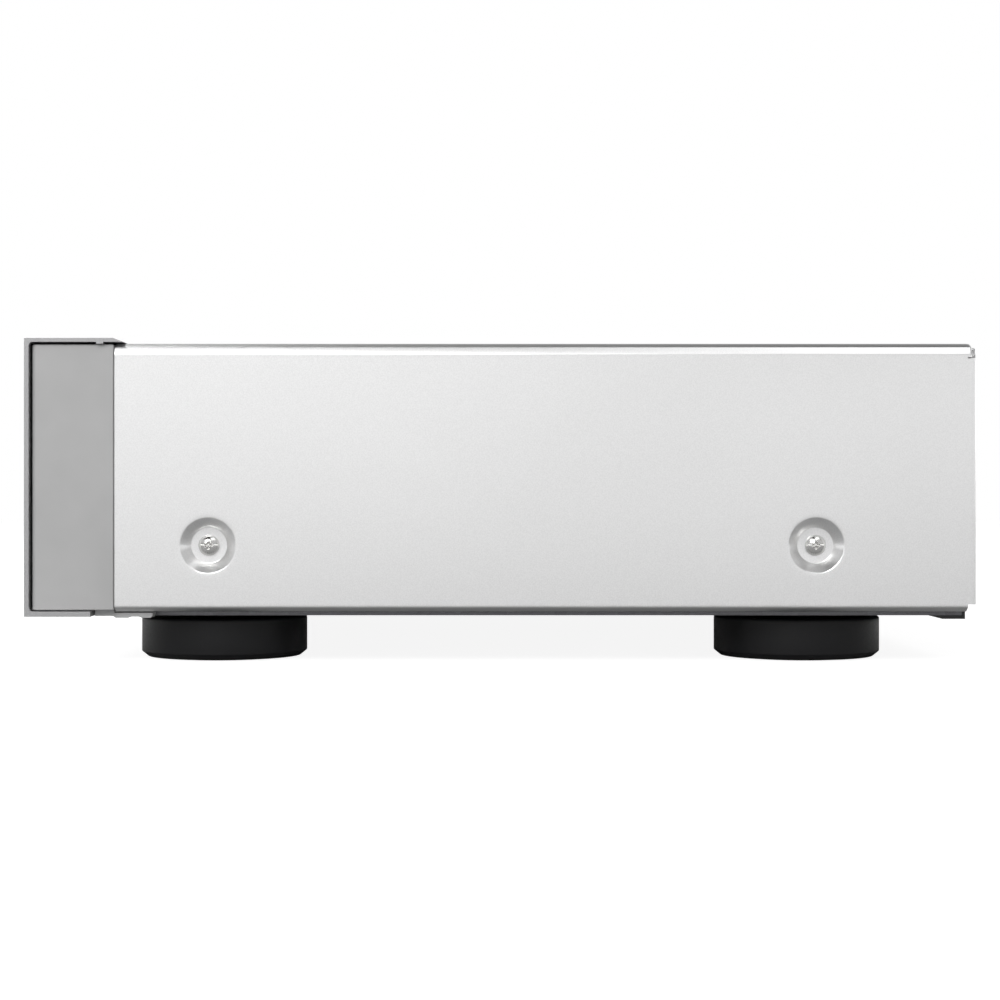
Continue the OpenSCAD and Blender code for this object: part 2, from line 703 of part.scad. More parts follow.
module usb_socket() color(steel) {
    difference() {
        along_y(-155.3, wiring_back - 0.1) translate(usb_at) square([13.1, 5.7], center = true);
        along_y(-157, -143) translate(usb_at) square([12.3, 4.9], center = true);
    }
    block([usb_at.x - 5.5, -154.6, usb_at.y + 0.3], [usb_at.x + 5.5, -142.9, usb_at.y + 2.1]);
}

module standby_led() color([0.8, 0.15, 0.1]) {
    rod_along_y(led_at.x, led_at.y, 1.2, -155.8, -143);
    rod_along_y(led_at.x, led_at.y, 1.9, -144, wiring_front);
}

module round_button(at, d) {
    rod_along_y(at.x, at.y, d/2, panel_face - button_proud, -152.9);
    rod_along_y(at.x, at.y, d/2 + button_flange, -153.9, -152.9);
    rod_along_y(at.x, at.y, 1.6, -153, -145.3);
}
module power_button() color(silver) round_button(power_at, small_button_d);
module play_button() color(silver) round_button(play_at, play_button_d);
module stop_button() color(silver) round_button(stop_at, small_button_d);
module skip_back_button() color(silver) round_button(skip_back_at, small_button_d);
module skip_forward_button() color(silver) round_button(skip_forward_at, small_button_d);
module open_close_button() color(silver) {
    along_y(panel_face - button_proud, -152.9) translate(open_close_at) pill(0);
    along_y(-153.9, -152.9) translate(open_close_at) pill(button_flange);
    rod_along_y(open_close_at.x, open_close_at.y, 1.6, -153, -145.3);
}

module display_tube() color([0.2, 0.3, 0.3]) {
    block([-55, -149.4, window_z - 12], [55, -143, window_z + 12]);
    for (i = [0:24]) block([-48.3 + i*4, -144, window_z - 13.5], [-47.7 + i*4, wiring_front, window_z - 11]);
}

module display_board() color(board_green) {
    difference() {
        union() {
            block([-205, wiring_front, 26], [205, wiring_back, 70]);
            both_sides() block([92, wiring_front, 69], [205, wiring_back, 91]);
        }
        rod_along_y(knob_at.x, knob_at.y, 4.3, -143, -138);
        rod_along_y(phones_at.x, phones_at.y, 4.8, -143, -138);
        along_y(-143, -138) translate(usb_at) square([13.7, 6.3], center = true);
    }
    for (at = [power_at, open_close_at, play_at, stop_at, skip_back_at, skip_forward_at]) {
        block([at.x - 3, -143.5, at.y - 3], [at.x + 3, wiring_front + 0.1, at.y + 3]);
        rod_along_y(at.x, at.y, 1.7, -144.2, -143);
    }
    for (x = [-60, 20]) block([x, wiring_back - 0.1, 34], [x + 16, wiring_back + 2, 50]);
}

// ---- Drawer ----
module disc_tray() color(dark) {
    difference() {
        union() {
            block([-tray_x, tray_front, tray_bottom], [tray_x, disc_y + 66, tray_top]);
            both_sides() {
                block([tray_x - 1, tray_front + 4, tray_bottom], [rail_x, tray_rear, rail_top]);
                block([52, disc_y + 65, tray_bottom], [rail_x - 1, tray_rear, rail_top]);
            }
        }
        rod_along_z(0, disc_y, recess_d/2, disc_floor, tray_top + 1);
        rod_along_z(0, disc_y, 40.5, small_disc_floor, tray_top + 1);
        block([-slot_x, disc_y - 22, tray_bottom - 1], [slot_x, disc_y + 70, tray_top + 1]);
    }
    block([-tray_x, -108, rack_bottom], [-tray_x + 1.5, 47, tray_bottom + 0.5]);
    rack(load_module, load_x - tray_pinion_teeth*load_module/2, -tray_x + 1, tray_gear_y, 1, 36,
         rack_bottom, tray_bottom + 0.5);
}

module tray_door() color(silver) difference() {
    along_y(-156, tray_front) polygon(round_rect(0, drawer_z, door_w, door_h, 0.8));
    block([-door_w/2 + 2, -153.5, drawer_z - door_h/2 + 2], [-tray_x - 1, -150, drawer_z + door_h/2 - 2]);
    block([tray_x + 1, -153.5, drawer_z - door_h/2 + 2], [door_w/2 - 2, -150, drawer_z + door_h/2 - 2]);
}

module loader_frame() color(black) difference() {
    union() {
        block([-loader_x, loader_front, deck_z], [loader_x, loader_rear, deck_top]);
        both_sides() {
            block([loader_in, loader_front, deck_z], [loader_x, loader_rear, loader_top]);
            block([67.2, loader_front, 77.4], [loader_in + 1, loader_rear, 79.4]);
            block([67.2, loader_front, 83.8], [loader_in + 1, loader_rear, 85.8]);
        }
        block([-loader_x, loader_front, deck_z], [loader_x, loader_front + 2, 74]);
        block([-loader_x, loader_rear - 2, deck_z], [loader_x, loader_rear, 74]);
        for (y = [cam_y - 3.2, cam_y + 1.8]) block([-42, y, deck_top - 1], [62, y + 1.4, 52]);
        for (x = [-36.5, 44.5]) block([x, pivot_y - 5, deck_top - 1], [x + 4, pivot_y + 5, pivot_z + 5]);
        for (at = leg_at) rod_along_z(at.x, at.y, 4.5, floor_top, deck_z + 1);
        rod_along_z(load_x, tray_gear_y, 2.5, deck_top - 1, 78.6);
        rod_along_z(load_x, pulley_gear_y, 2, deck_top - 1, 64.5);
        for (y = [tray_gear_y, pulley_gear_y]) rod_along_z(load_x, y, 4.5, deck_top - 1, 54.6);
    }
    block([-30, -104, deck_z - 1], [42, 8, deck_top + 1]);
    rod_along_z(load_x, motor_y, 3.2, deck_z - 1, deck_top + 1);
    for (x = [-36.5, 44.5]) rod_along_x(pivot_y, pivot_z, 2.57, x - 1, x + 5);
    for (at = leg_at) rod_along_z(at.x, at.y, 1.5, floor_top - 1, floor_top + 8);
    for (x = [-73, 73], y = [-92, -68]) rod_along_z(x, y, 1, loader_top - 6, loader_top + 1);
}

module clamp_bridge() color(steel) difference() {
    block([-loader_x, disc_y - 16, loader_top + gap], [loader_x, disc_y + 16, loader_top + 1.6]);
    rod_along_z(0, disc_y, 12, loader_top - 1, loader_top + 3);
    for (x = [-73, 73], y = [-92, -68]) rod_along_z(x, y, 1, loader_top - 1, loader_top + 3);
}

module clamp_puck() color(dark) translate([0, disc_y, 0]) rotate_extrude() polygon([
    [0, 88.6], [8.2, 88.6], [8.2, 86.5], [16, 86.5], [16, 89.1], [11.6, 89.1],
    [11.6, 91.3], [14.5, 91.3], [14.5, 92.8], [0, 92.8]
]);

// ---- Loading drive ----
module tray_gear() color(white) translate([load_x, tray_gear_y, 0]) difference() {
    union() {
        gear(load_module, tray_wheel_teeth, 90, 60.5, 63.5);
        gear(load_module, tray_pinion_teeth, 180 + 180/tray_pinion_teeth, 63, 79.1);
        rod_along_z(0, 0, 4.4, 55, 61);
    }
    rod_along_z(0, 0, 2.57, 50, 82);
}

module pulley_gear() color(white) translate([load_x, pulley_gear_y, 0]) difference() {
    union() {
        gear(load_module, pulley_teeth, 270 + 180/pulley_teeth, 58, 64);
        rotate_extrude() polygon([
            [1, 55], [pulley_r, 55], [pulley_r, belt_z - 1.2], [big_groove, belt_z - 0.8],
            [big_groove, belt_z + 0.8], [pulley_r, belt_z + 1.2], [pulley_r, 59], [1, 59]
        ]);
    }
    rod_along_z(0, 0, 2.07, 50, 70);
}

module motor_pulley() color(gold) translate([load_x, motor_y, 0]) {
    rotate_extrude() polygon([
        [0, 50], [2, 50], [2, 54.8], [5, 54.8], [5, belt_z - 1.1], [small_groove, belt_z - 0.8],
        [small_groove, belt_z + 0.8], [5, belt_z + 1.1], [5, 59.2], [0, 59.2]
    ]);
    rod_along_z(0, 0, 1, 40, 51);
}

// Outline of the belt at a distance out from the groove floors
function belt_loop(out) = let (
    lean = acos((big_groove - small_groove)/(motor_y - pulley_gear_y))
) concat(
    arc(load_x, pulley_gear_y, big_groove + out, 90 + lean, 450 - lean, 28),
    arc(load_x, motor_y, small_groove + out, 90 - lean, 90 + lean, 10)
);
module drive_belt() color(black) along_z(belt_z - belt_t/2, belt_z + belt_t/2) difference() {
    polygon(belt_loop(0.12 + belt_t));
    polygon(belt_loop(0.12));
}

module loading_motor() color(steel) motor_can([load_x, motor_y], 12, 27, deck_z - gap, 1.06);

module cam_slide() color(white) difference() {
    union() {
        block([cam_pin_x - 14, cam_y - 1.25, deck_top + 0.4], [cam_pin_x + cam_travel + 14, cam_y + 1.25, 76]);
        block([cam_pin_x + cam_travel + 2, cam_y + 1, 68], [cam_pin_x + cam_travel + 14, cam_y + 4, 72]);
    }
    translate([cam_pin_x, cam_y - 3, pivot_z]) rotate([0, cam_slope, 0]) {
        translate([0, 0, -2.3]) cube([norm([cam_travel, cam_drop]), 6, 4.6]);
        for (x = [0, norm([cam_travel, cam_drop])])
            translate([x, 0, 0]) rotate([-90, 0, 0]) cylinder(r = 2.3, h = 6);
    }
}

// ---- Traverse ----
module traverse_frame() color(dark) difference() {
    union() {
        block([traverse_x[0], traverse_y[0], plate_z], [traverse_x[1], traverse_y[1], plate_top]);
        for (x = [traverse_x[0] + 1, traverse_x[1] - 3])
            block([x, traverse_y[0], plate_top - 1], [x + 2, traverse_y[1], 72]);
        for (side = [-1, 1], y = [-101, -6])
            block([side*rod_x - 3.5, y, plate_top - 1], [side*rod_x + 3.5, y + 5, 74]);
        for (x = [traverse_x[0] - 4, traverse_x[1] - 0.5])
            rod_along_x(pivot_y, pivot_z, 2.5, x, x + 4.5);
        rod_along_y(cam_pin_x, pivot_z, 2, -118, traverse_y[0] + 1);
        block([feed_gear_at.x - 7, feed_motor_at.y - 9, 59.4], [traverse_x[1], feed_gear_at.y + 11, 61]);
        block([traverse_x[1] - 1.6, feed_motor_at.y - 9, 60],
              [traverse_x[1], feed_gear_at.y + 11, plate_z + 1]);
    }
    block([-24.5, disc_y + 12, plate_z - 1], [25, -7, plate_top + 1]);
    rod_along_z(0, disc_y, 6.5, plate_z - 1, plate_top + 1);
    rod_along_z(feed_gear_at.x, feed_gear_at.y, 4.2, plate_z - 1, plate_top + 1);
    rod_along_z(feed_gear_at.x, feed_gear_at.y, 1, 58, 62);
    rod_along_z(feed_motor_at.x, feed_motor_at.y, 2.2, 58, 62);
    for (side = [-1, 1]) rod_along_y(side*rod_x, rod_z, 1.52, -98.5, -3.5);
}

module spindle_motor() color(steel) motor_can([0, disc_y], 12.4, 56, plate_z - gap, 1.06);

module turntable() color(dark) translate([0, disc_y, 0]) rotate_extrude() polygon([
    [0, 59], [1, 59], [1, 69.5], [5, 69.5], [5, 83.2], [14.5, 83.2], [14.5, hub_plane],
    [7.4, hub_plane], [7.4, 86.8], [5.6, 88], [0, 88]
]);

module guide_rods() color(steel) {
    for (side = [-1, 1]) rod_along_y(side*rod_x, rod_z, 1.5, -98.4, -3.6);
    rod_along_z(feed_gear_at.x, feed_gear_at.y, 1, 59.4, 74.5);
}

module pickup_sled() color([0.35, 0.36, 0.38]) {
    difference() {
        union() {
            block([-23, lens_y - 11.5, 65.5], [24, lens_y + 13.5, 75.5]);
            block([-23, lens_y - 11.5, 65.5], [-13, lens_y + 13.5, 77]);
        }
        for (side = [-1, 1]) rod_along_y(side*rod_x, rod_z, 1.57, -70, -38);
        block([-9, lens_y - 9, 72], [9, lens_y + 9, 78]);
    }
    block([23, -66.5, 69.5], [24.4, -24, 73.5]);
    rack(feed_module, feed_rack_x, 24, feed_gear_at.y, 14, 1, 69.5, 73.5);
}

module pickup_lens() color([0.5, 0.5, 0.6]) {
    block([-7, lens_y - 7, 73], [7, lens_y + 7, 81]);
    rod_along_z(0, lens_y, 4, 80.5, 82.2);
    intersection() {
        rod_along_z(0, lens_y, 3, 82, 83.2);
        translate([0, lens_y, 78.2]) sphere(r = 5);
    }
}

module feed_motor() color(steel) motor_can(feed_motor_at, 8, 45, 59.3, 0.8);

module feed_gear() color(white) translate([feed_gear_at.x, feed_gear_at.y, 0]) difference() {
    union() {
        gear(feed_module, feed_gear_teeth, 180 + 180/feed_gear_teeth, 69.2, 74);
        rod_along_z(0, 0, 3.4, 62, 70);
        gear(fine_module, feed_wheel_teeth, 270, 62, 64.5);
    }
    rod_along_z(0, 0, 1.06, 60, 76);
}

module feed_pinion() color(gold) translate([feed_motor_at.x, feed_motor_at.y, 0]) {
    gear(fine_module, feed_pinion_teeth, 90 + 180/feed_pinion_teeth, 61.6, 65);
    rod_along_z(0, 0, 0.75, 52, 62);
}

base_chassis();
top_cover();
rear_panel();
front_panel();
front_frame();
end_cap_left();
end_cap_right();
display_window();
display_tube();
display_board();
foot_front_left();
foot_front_right();
foot_rear_left();
foot_rear_right();
foot_pads();
foot_screws();
side_screws();
rear_screws();
inner_screws();
main_board();
power_board();
board_parts();
transformer();
ribbon_cables();
analog_output_jacks();
coaxial_output_jack();
optical_output_jack();
optical_shutter();
ac_inlet();
headphone_jack();
level_potentiometer();
level_knob();
usb_socket();
standby_led();
power_button();
open_close_button();
play_button();
stop_button();
skip_back_button();
skip_forward_button();
disc_tray();
tray_door();
loader_frame();
clamp_bridge();
clamp_puck();
tray_gear();
pulley_gear();
motor_pulley();
drive_belt();
loading_motor();
cam_slide();
traverse_frame();
spindle_motor();
turntable();
guide_rods();
pickup_sled();
pickup_lens();
feed_motor();
feed_gear();
feed_pinion();
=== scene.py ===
import bmesh
import bpy
import numpy as np
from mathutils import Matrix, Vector


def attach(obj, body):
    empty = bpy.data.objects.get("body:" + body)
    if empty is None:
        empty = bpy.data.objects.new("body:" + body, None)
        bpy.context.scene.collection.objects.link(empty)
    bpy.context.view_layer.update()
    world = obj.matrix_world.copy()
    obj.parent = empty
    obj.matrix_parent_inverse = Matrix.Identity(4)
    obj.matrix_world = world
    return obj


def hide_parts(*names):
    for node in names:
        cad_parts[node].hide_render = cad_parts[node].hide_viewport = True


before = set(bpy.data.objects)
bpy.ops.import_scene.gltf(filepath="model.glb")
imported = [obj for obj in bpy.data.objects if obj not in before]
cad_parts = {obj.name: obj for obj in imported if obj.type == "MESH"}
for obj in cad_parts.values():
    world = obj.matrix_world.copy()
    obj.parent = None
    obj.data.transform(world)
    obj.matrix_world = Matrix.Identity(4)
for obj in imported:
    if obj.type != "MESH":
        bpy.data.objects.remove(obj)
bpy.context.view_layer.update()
mm = 0.001

# ---- Studio ----
# A white floor and backdrop in a dim room with a bright band just above eye level. Soft boxes
# stand on an arc round the player: the strongest in front and to its right, a weak one overhead.
eye = Vector((0.864, 0, 0.054))
lens_mm = 71.28
horizon_glow, sky_glow = 3.5, 0.6
room_ramp = [(0.0, 0.0), (0.495, 0.0), (0.52, horizon_glow), (0.56, 0.0), (0.62, sky_glow),
             (0.8, sky_glow), (0.9, 0.0), (1.0, 0.0)]
box_size, box_far = (1.0, 0.7), 1.9
side_box, high_box, front_low_box, front_high_box, overhead_box = 16, 4, 15, 20, 2
floor_half = 4.0
floor_glow = 0.9

bpy.context.scene.view_settings.view_transform = "Standard"
room = bpy.data.worlds.new("studio_room")
bpy.context.scene.world = room
room.use_nodes = True
tree = room.node_tree
tree.nodes.clear()
direction = tree.nodes.new("ShaderNodeTexCoord")
split = tree.nodes.new("ShaderNodeSeparateXYZ")
lift = tree.nodes.new("ShaderNodeMapRange")
lift.inputs["From Min"].default_value = -1
ramp = tree.nodes.new("ShaderNodeValToRGB")
while len(ramp.color_ramp.elements) < len(room_ramp):
    ramp.color_ramp.elements.new(0.5)
for stop, (place, level) in zip(ramp.color_ramp.elements, room_ramp):
    stop.position = place
    stop.color = (level, level, level, 1)
walls = tree.nodes.new("ShaderNodeBackground")
paper = tree.nodes.new("ShaderNodeBackground")
paper.inputs["Color"].default_value = (1, 1, 1, 1)
seen = tree.nodes.new("ShaderNodeLightPath")
mix = tree.nodes.new("ShaderNodeMixShader")
out = tree.nodes.new("ShaderNodeOutputWorld")
tree.links.new(direction.outputs["Generated"], split.inputs[0])
tree.links.new(split.outputs["Z"], lift.inputs["Value"])
tree.links.new(lift.outputs["Result"], ramp.inputs["Fac"])
tree.links.new(ramp.outputs["Color"], walls.inputs["Color"])
tree.links.new(seen.outputs["Is Camera Ray"], mix.inputs["Fac"])
tree.links.new(walls.outputs[0], mix.inputs[1])
tree.links.new(paper.outputs[0], mix.inputs[2])
tree.links.new(mix.outputs[0], out.inputs["Surface"])

floor_mesh = bpy.data.meshes.new("floor")
floor_mesh.from_pydata([(-floor_half, -floor_half, 0), (floor_half, -floor_half, 0),
                        (floor_half, floor_half, 0), (-floor_half, floor_half, 0)], [], [(0, 1, 2, 3)])
floor = bpy.data.objects.new("floor", floor_mesh)
bpy.context.scene.collection.objects.link(floor)
floor_paint = bpy.data.materials.new("floor_paint")
floor_paint.use_nodes = True
tree = floor_paint.node_tree
matt = tree.nodes["Principled BSDF"]
matt.inputs["Base Color"].default_value = (0.34, 0.34, 0.34, 1)
matt.inputs["Roughness"].default_value = 0.9
matt.inputs["Specular IOR Level"].default_value = 0
bright = tree.nodes.new("ShaderNodeBsdfDiffuse")
bright.inputs["Color"].default_value = (0.35, 0.35, 0.35, 1)
glow = tree.nodes.new("ShaderNodeEmission")
glow.inputs["Strength"].default_value = floor_glow
both = tree.nodes.new("ShaderNodeAddShader")
seen = tree.nodes.new("ShaderNodeLightPath")
mix = tree.nodes.new("ShaderNodeMixShader")
tree.links.new(bright.outputs[0], both.inputs[0])
tree.links.new(glow.outputs[0], both.inputs[1])
tree.links.new(seen.outputs["Is Camera Ray"], mix.inputs["Fac"])
tree.links.new(matt.outputs[0], mix.inputs[1])
tree.links.new(both.outputs[0], mix.inputs[2])
tree.links.new(mix.outputs[0], tree.nodes["Material Output"].inputs["Surface"])
floor_mesh.materials.append(floor_paint)


def soft_box(name, turn, lift, watts):
    """A rectangular lamp that faces the player, turn degrees round it from its right side and
    lift degrees up: (cos lift x cos turn, cos lift x sin turn, sin lift) x its distance."""
    turn, lift, middle = np.radians(turn), np.radians(lift), Vector((0.1, 0, 0.06))
    ray = Vector((np.cos(lift)*np.cos(turn), np.cos(lift)*np.sin(turn), np.sin(lift)))
    lamp = bpy.data.lights.new(name, "AREA")
    lamp.shape, lamp.size, lamp.size_y, lamp.energy = "RECTANGLE", box_size[0], box_size[1], watts
    holder = bpy.data.objects.new(name, lamp)
    holder.location = middle + ray*box_far
    holder.rotation_euler = (-ray).to_track_quat("-Z", "Y").to_euler()
    holder.visible_camera = False
    bpy.context.scene.collection.objects.link(holder)


soft_box("side_box", -18, 32, side_box)
soft_box("high_box", 35, 52, high_box)
soft_box("front_low_box", -110, 20, front_low_box)
soft_box("front_high_box", -110, 60, front_high_box)
soft_box("overhead_box", 0, 89, overhead_box)

camera_data = bpy.data.cameras.new("camera")
camera_data.lens, camera_data.sensor_width, camera_data.clip_start = lens_mm, 36, 0.01
camera = bpy.data.objects.new("camera", camera_data)
camera.location = eye
camera.rotation_euler = Vector((-1, 0, 0)).to_track_quat("-Z", "Y").to_euler()
bpy.context.scene.collection.objects.link(camera)
bpy.context.scene.camera = camera

# ---- Base ----
# One steel sheet, punched and folded into a tray: a floor with cooling slots, two
# ledges under the cover's hems, side walls, and low flanges at the front and the back. It is
# coloured near-black, with a pattern of plating crystals.
base_edge = 0.18


def eased(name, node, width, segments=2):
    """A copy of a CAD node whose meeting edges are rounded, width millimetres wide. The copy's
    doubled points are merged and its flat faces joined before the rounding."""
    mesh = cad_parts[node].data.copy()
    mesh.name = name
    mesh.materials.clear()
    work = bmesh.new()
    work.from_mesh(mesh)
    bmesh.ops.remove_doubles(work, verts=work.verts, dist=1e-6)
    bmesh.ops.dissolve_limit(work, angle_limit=np.radians(0.2), verts=work.verts, edges=work.edges)
    work.to_mesh(mesh)
    work.free()
    if "custom_normal" in mesh.attributes:
        mesh.attributes.remove(mesh.attributes["custom_normal"])
    mesh.shade_smooth()
    mesh.set_sharp_from_angle(angle=np.radians(30))
    piece = bpy.data.objects.new(name, mesh)
    bpy.context.scene.collection.objects.link(piece)
    rounding = piece.modifiers.new("eased_edges", "BEVEL")
    rounding.width, rounding.segments = width*mm, segments
    rounding.limit_method, rounding.angle_limit = "ANGLE", np.radians(30)
    rounding.harden_normals = True
    return piece


def fit(piece, body, material, slot, *nodes):
    """Gives a piece its finish, its body, and the CAD nodes that it stands for."""
    piece.data.materials.append(material)
    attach(piece, body)
    if nodes:
        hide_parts(*nodes)
    return piece


def refinish(node, material):
    """Gives a CAD node that is shown as it is a better material."""
    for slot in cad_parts[node].material_slots:
        slot.material = material


def new_finish(name, colour, metal, rough):
    """A material with one Principled shader; returns it with its tree and that shader."""
    material = bpy.data.materials.new(name)
    material.use_nodes = True
    shader = material.node_tree.nodes["Principled BSDF"]
    shader.inputs["Base Color"].default_value = (*colour, 1)
    shader.inputs["Metallic"].default_value = metal
    shader.inputs["Roughness"].default_value = rough
    return material, material.node_tree, shader


def grain(tree, scale, detail=2.0, stretch=(1, 1, 1)):
    """A noise pattern fixed to the object, its axes stretched; returns its value socket."""
    place = tree.nodes.new("ShaderNodeTexCoord")
    mapping = tree.nodes.new("ShaderNodeMapping")
    mapping.inputs["Scale"].default_value = stretch
    noise = tree.nodes.new("ShaderNodeTexNoise")
    noise.inputs["Scale"].default_value = scale
    noise.inputs["Detail"].default_value = detail
    tree.links.new(place.outputs["Object"], mapping.inputs["Vector"])
    tree.links.new(mapping.outputs[0], noise.inputs["Vector"])
    return noise.outputs["Fac"]


def spread(tree, value, low, high, ends=(0.3, 0.7)):
    """Maps a pattern between its two ends onto low to high, which are numbers or colours."""
    stretch = tree.nodes.new("ShaderNodeMapRange")
    stretch.inputs["From Min"].default_value, stretch.inputs["From Max"].default_value = ends
    tree.links.new(value, stretch.inputs["Value"])
    if not isinstance(low, tuple):
        stretch.inputs["To Min"].default_value, stretch.inputs["To Max"].default_value = low, high
        return stretch.outputs["Result"]
    blend = tree.nodes.new("ShaderNodeMix")
    blend.data_type = "RGBA"
    blend.inputs[6].default_value, blend.inputs[7].default_value = (*low, 1), (*high, 1)
    tree.links.new(stretch.outputs["Result"], blend.inputs["Factor"])
    return blend.outputs[2]


def raise_skin(tree, shader, value, depth):
    """Raises the surface by a pattern, depth millimetres at its highest."""
    bump = tree.nodes.new("ShaderNodeBump")
    bump.inputs["Strength"].default_value = 1
    bump.inputs["Distance"].default_value = depth*mm
    tree.links.new(value, bump.inputs["Height"])
    tree.links.new(bump.outputs[0], shader.inputs["Normal"])


def shade(colour, factor):
    """The colour made lighter or darker by a factor, kept below 1."""
    return tuple(min(c*factor, 1) for c in colour)


def zinc_plate(name, colour, rough):
    """Zinc plating: flat crystals a few millimetres wide that differ in tone and gloss."""
    material, tree, shader = new_finish(name, colour, 0.9, rough)
    place = tree.nodes.new("ShaderNodeTexCoord")
    crystals = tree.nodes.new("ShaderNodeTexVoronoi")
    crystals.inputs["Scale"].default_value = 260
    tree.links.new(place.outputs["Object"], crystals.inputs["Vector"])
    tone = tree.nodes.new("ShaderNodeSeparateColor")
    tree.links.new(crystals.outputs["Color"], tone.inputs[0])
    patch = tone.outputs[0]
    tree.links.new(spread(tree, patch, shade(colour, 0.8), shade(colour, 1.15), (0, 1)),
                   shader.inputs["Base Color"])
    tree.links.new(spread(tree, patch, rough - 0.07, rough + 0.07, (0, 1)), shader.inputs["Roughness"])
    raise_skin(tree, shader, grain(tree, 800), 0.003)
    return material


# The base's finish: the crystal pattern in a near-black grey, far darker than the zinc below.
dark_zinc = zinc_plate("dark_zinc_plate", (0.17, 0.17, 0.18), 0.45)
zinc = zinc_plate("zinc_plate", (0.58, 0.59, 0.60), 0.34)
fit(eased("base_tray", "base_chassis", base_edge), "case", dark_zinc, "base_chassis", "base_chassis")

# ---- Feet ----
# Four round feet of moulded black plastic with a fine spark-eroded grain. Each has a chamfered
# edge, a soft ring below, and a screw up its middle that holds it to the base.
foot_x, foot_ys = 176, (-95.5, 102.8)
foot_places = [(x, y, 0) for y in foot_ys for x in (-foot_x, foot_x)]
foot_profile = [(2.1, 15.6), (10, 15.6), (10, 14.1), (28.4, 14.1), (28.4, 2.2), (26.2, 0.4),
                (22.2, 0.4), (22.2, 1.6), (8, 1.6), (8, 9), (2.1, 9), (2.1, 15.6)]
foot_bends = [0, 0.15, 0.2, 0.9, 0.5, 0.4, 0.2, 0.1, 0.4, 0.3, 0.1, 0]
pad_profile = [(8.2, 1.6), (8.2, 0), (22, 0), (22, 1.6), (8.2, 1.6)]
pad_bends = [0, 0.35, 0.35, 0.2, 0]


def filleted(corners, radii, steps=6):
    """Rounds the inner corners of a line. Each becomes an arc that touches both sides: it starts
    r / tan(half the corner's angle) from the corner, round a centre on the bisector."""
    corners = np.asarray(corners, float)
    radii = np.broadcast_to(radii, len(corners))
    line = [corners[:1]]
    for before, at, after, r in zip(corners, corners[1:], corners[2:], radii[1:]):
        u, v = (before - at)/np.linalg.norm(before - at), (after - at)/np.linalg.norm(after - at)
        half = np.arccos(np.clip(u @ v, -1, 1))/2
        if r <= 0 or half > 1.56:
            line.append(at[None])
            continue
        centre = at + (u + v)/np.linalg.norm(u + v)*r/np.sin(half)
        a, b = at + u*r/np.tan(half) - centre, at + v*r/np.tan(half) - centre
        start = np.arctan2(a[1], a[0])
        turn = (np.arctan2(b[1], b[0]) - start + np.pi) % (2*np.pi) - np.pi
        t = start + turn*np.linspace(0, 1, steps + 1)
        line.append(centre + r*np.stack([np.cos(t), np.sin(t)], 1))
    return np.concatenate(line + [corners[-1:]])


def make_piece(name, grids, sharp=35, outside=None):
    """Joins grids of points (rows, columns, 3), in millimetres, into one mesh of quads. Points
    that grids share are merged, and faces turn outwards: those farthest along outside decide
    for an open sheet. Edges sharper than sharp degrees, and open edges, stay crisp."""
    corners, quads, first = [], [], 0
    for grid in grids:
        index = first + np.arange(grid.shape[0]*grid.shape[1]).reshape(grid.shape[:2])
        quads.append(np.stack([index[:-1, :-1], index[1:, :-1], index[1:, 1:], index[:-1, 1:]], -1))
        corners.append(grid.reshape(-1, 3)*mm)
        first += index.size
    mesh = bpy.data.meshes.new(name)
    mesh.from_pydata(np.concatenate(corners), [], np.concatenate([q.reshape(-1, 4) for q in quads]))
    work = bmesh.new()
    work.from_mesh(mesh)
    bmesh.ops.remove_doubles(work, verts=work.verts, dist=2e-6)
    bmesh.ops.recalc_face_normals(work, faces=work.faces)
    if outside is not None:
        far = max(work.faces, key=lambda face: face.calc_center_median().dot(Vector(outside)))
        if far.normal.dot(Vector(outside)) < 0:
            bmesh.ops.reverse_faces(work, faces=work.faces)
    work.to_mesh(mesh)
    work.free()
    mesh.shade_smooth()
    mesh.set_sharp_from_angle(angle=np.radians(sharp))
    uses = np.zeros(len(mesh.loops), int)
    mesh.loops.foreach_get("edge_index", uses)
    crisp = mesh.attributes.get("sharp_edge") or mesh.attributes.new("sharp_edge", "BOOLEAN", "EDGE")
    flags = np.zeros(len(mesh.edges), bool)
    crisp.data.foreach_get("value", flags)
    crisp.data.foreach_set("value", flags | (np.bincount(uses, minlength=len(flags)) == 1))
    piece = bpy.data.objects.new(name, mesh)
    bpy.context.scene.collection.objects.link(piece)
    return piece


def axes_for(outward):
    """The three directions that (across, up, out) coordinates are carried along."""
    out = np.array(outward, float)
    side = np.array([1.0, 0, 0]) if abs(out[2]) > 0.9 else np.cross(out, (0, 0, 1.0))
    return np.array([side, np.cross(side, out), out])


def turned_grid(profile, steps=96):
    """A profile of (radius, height) turned full circle: (r cos a, r sin a, h)."""
    r, h = np.asarray(profile, float).T
    a = np.linspace(0, 2*np.pi, steps + 1)
    return np.stack([np.outer(r, np.cos(a)), np.outer(r, np.sin(a)), np.outer(h, np.ones(steps + 1))], -1)


def turned(name, profile, places, outward=(0, 0, 1), steps=96, sharp=35):
    """Equal turned shapes at several places, their axes along outward."""
    shape = turned_grid(profile, steps) @ axes_for(outward)
    return make_piece(name, [np.array(place, float) + shape for place in places], sharp)


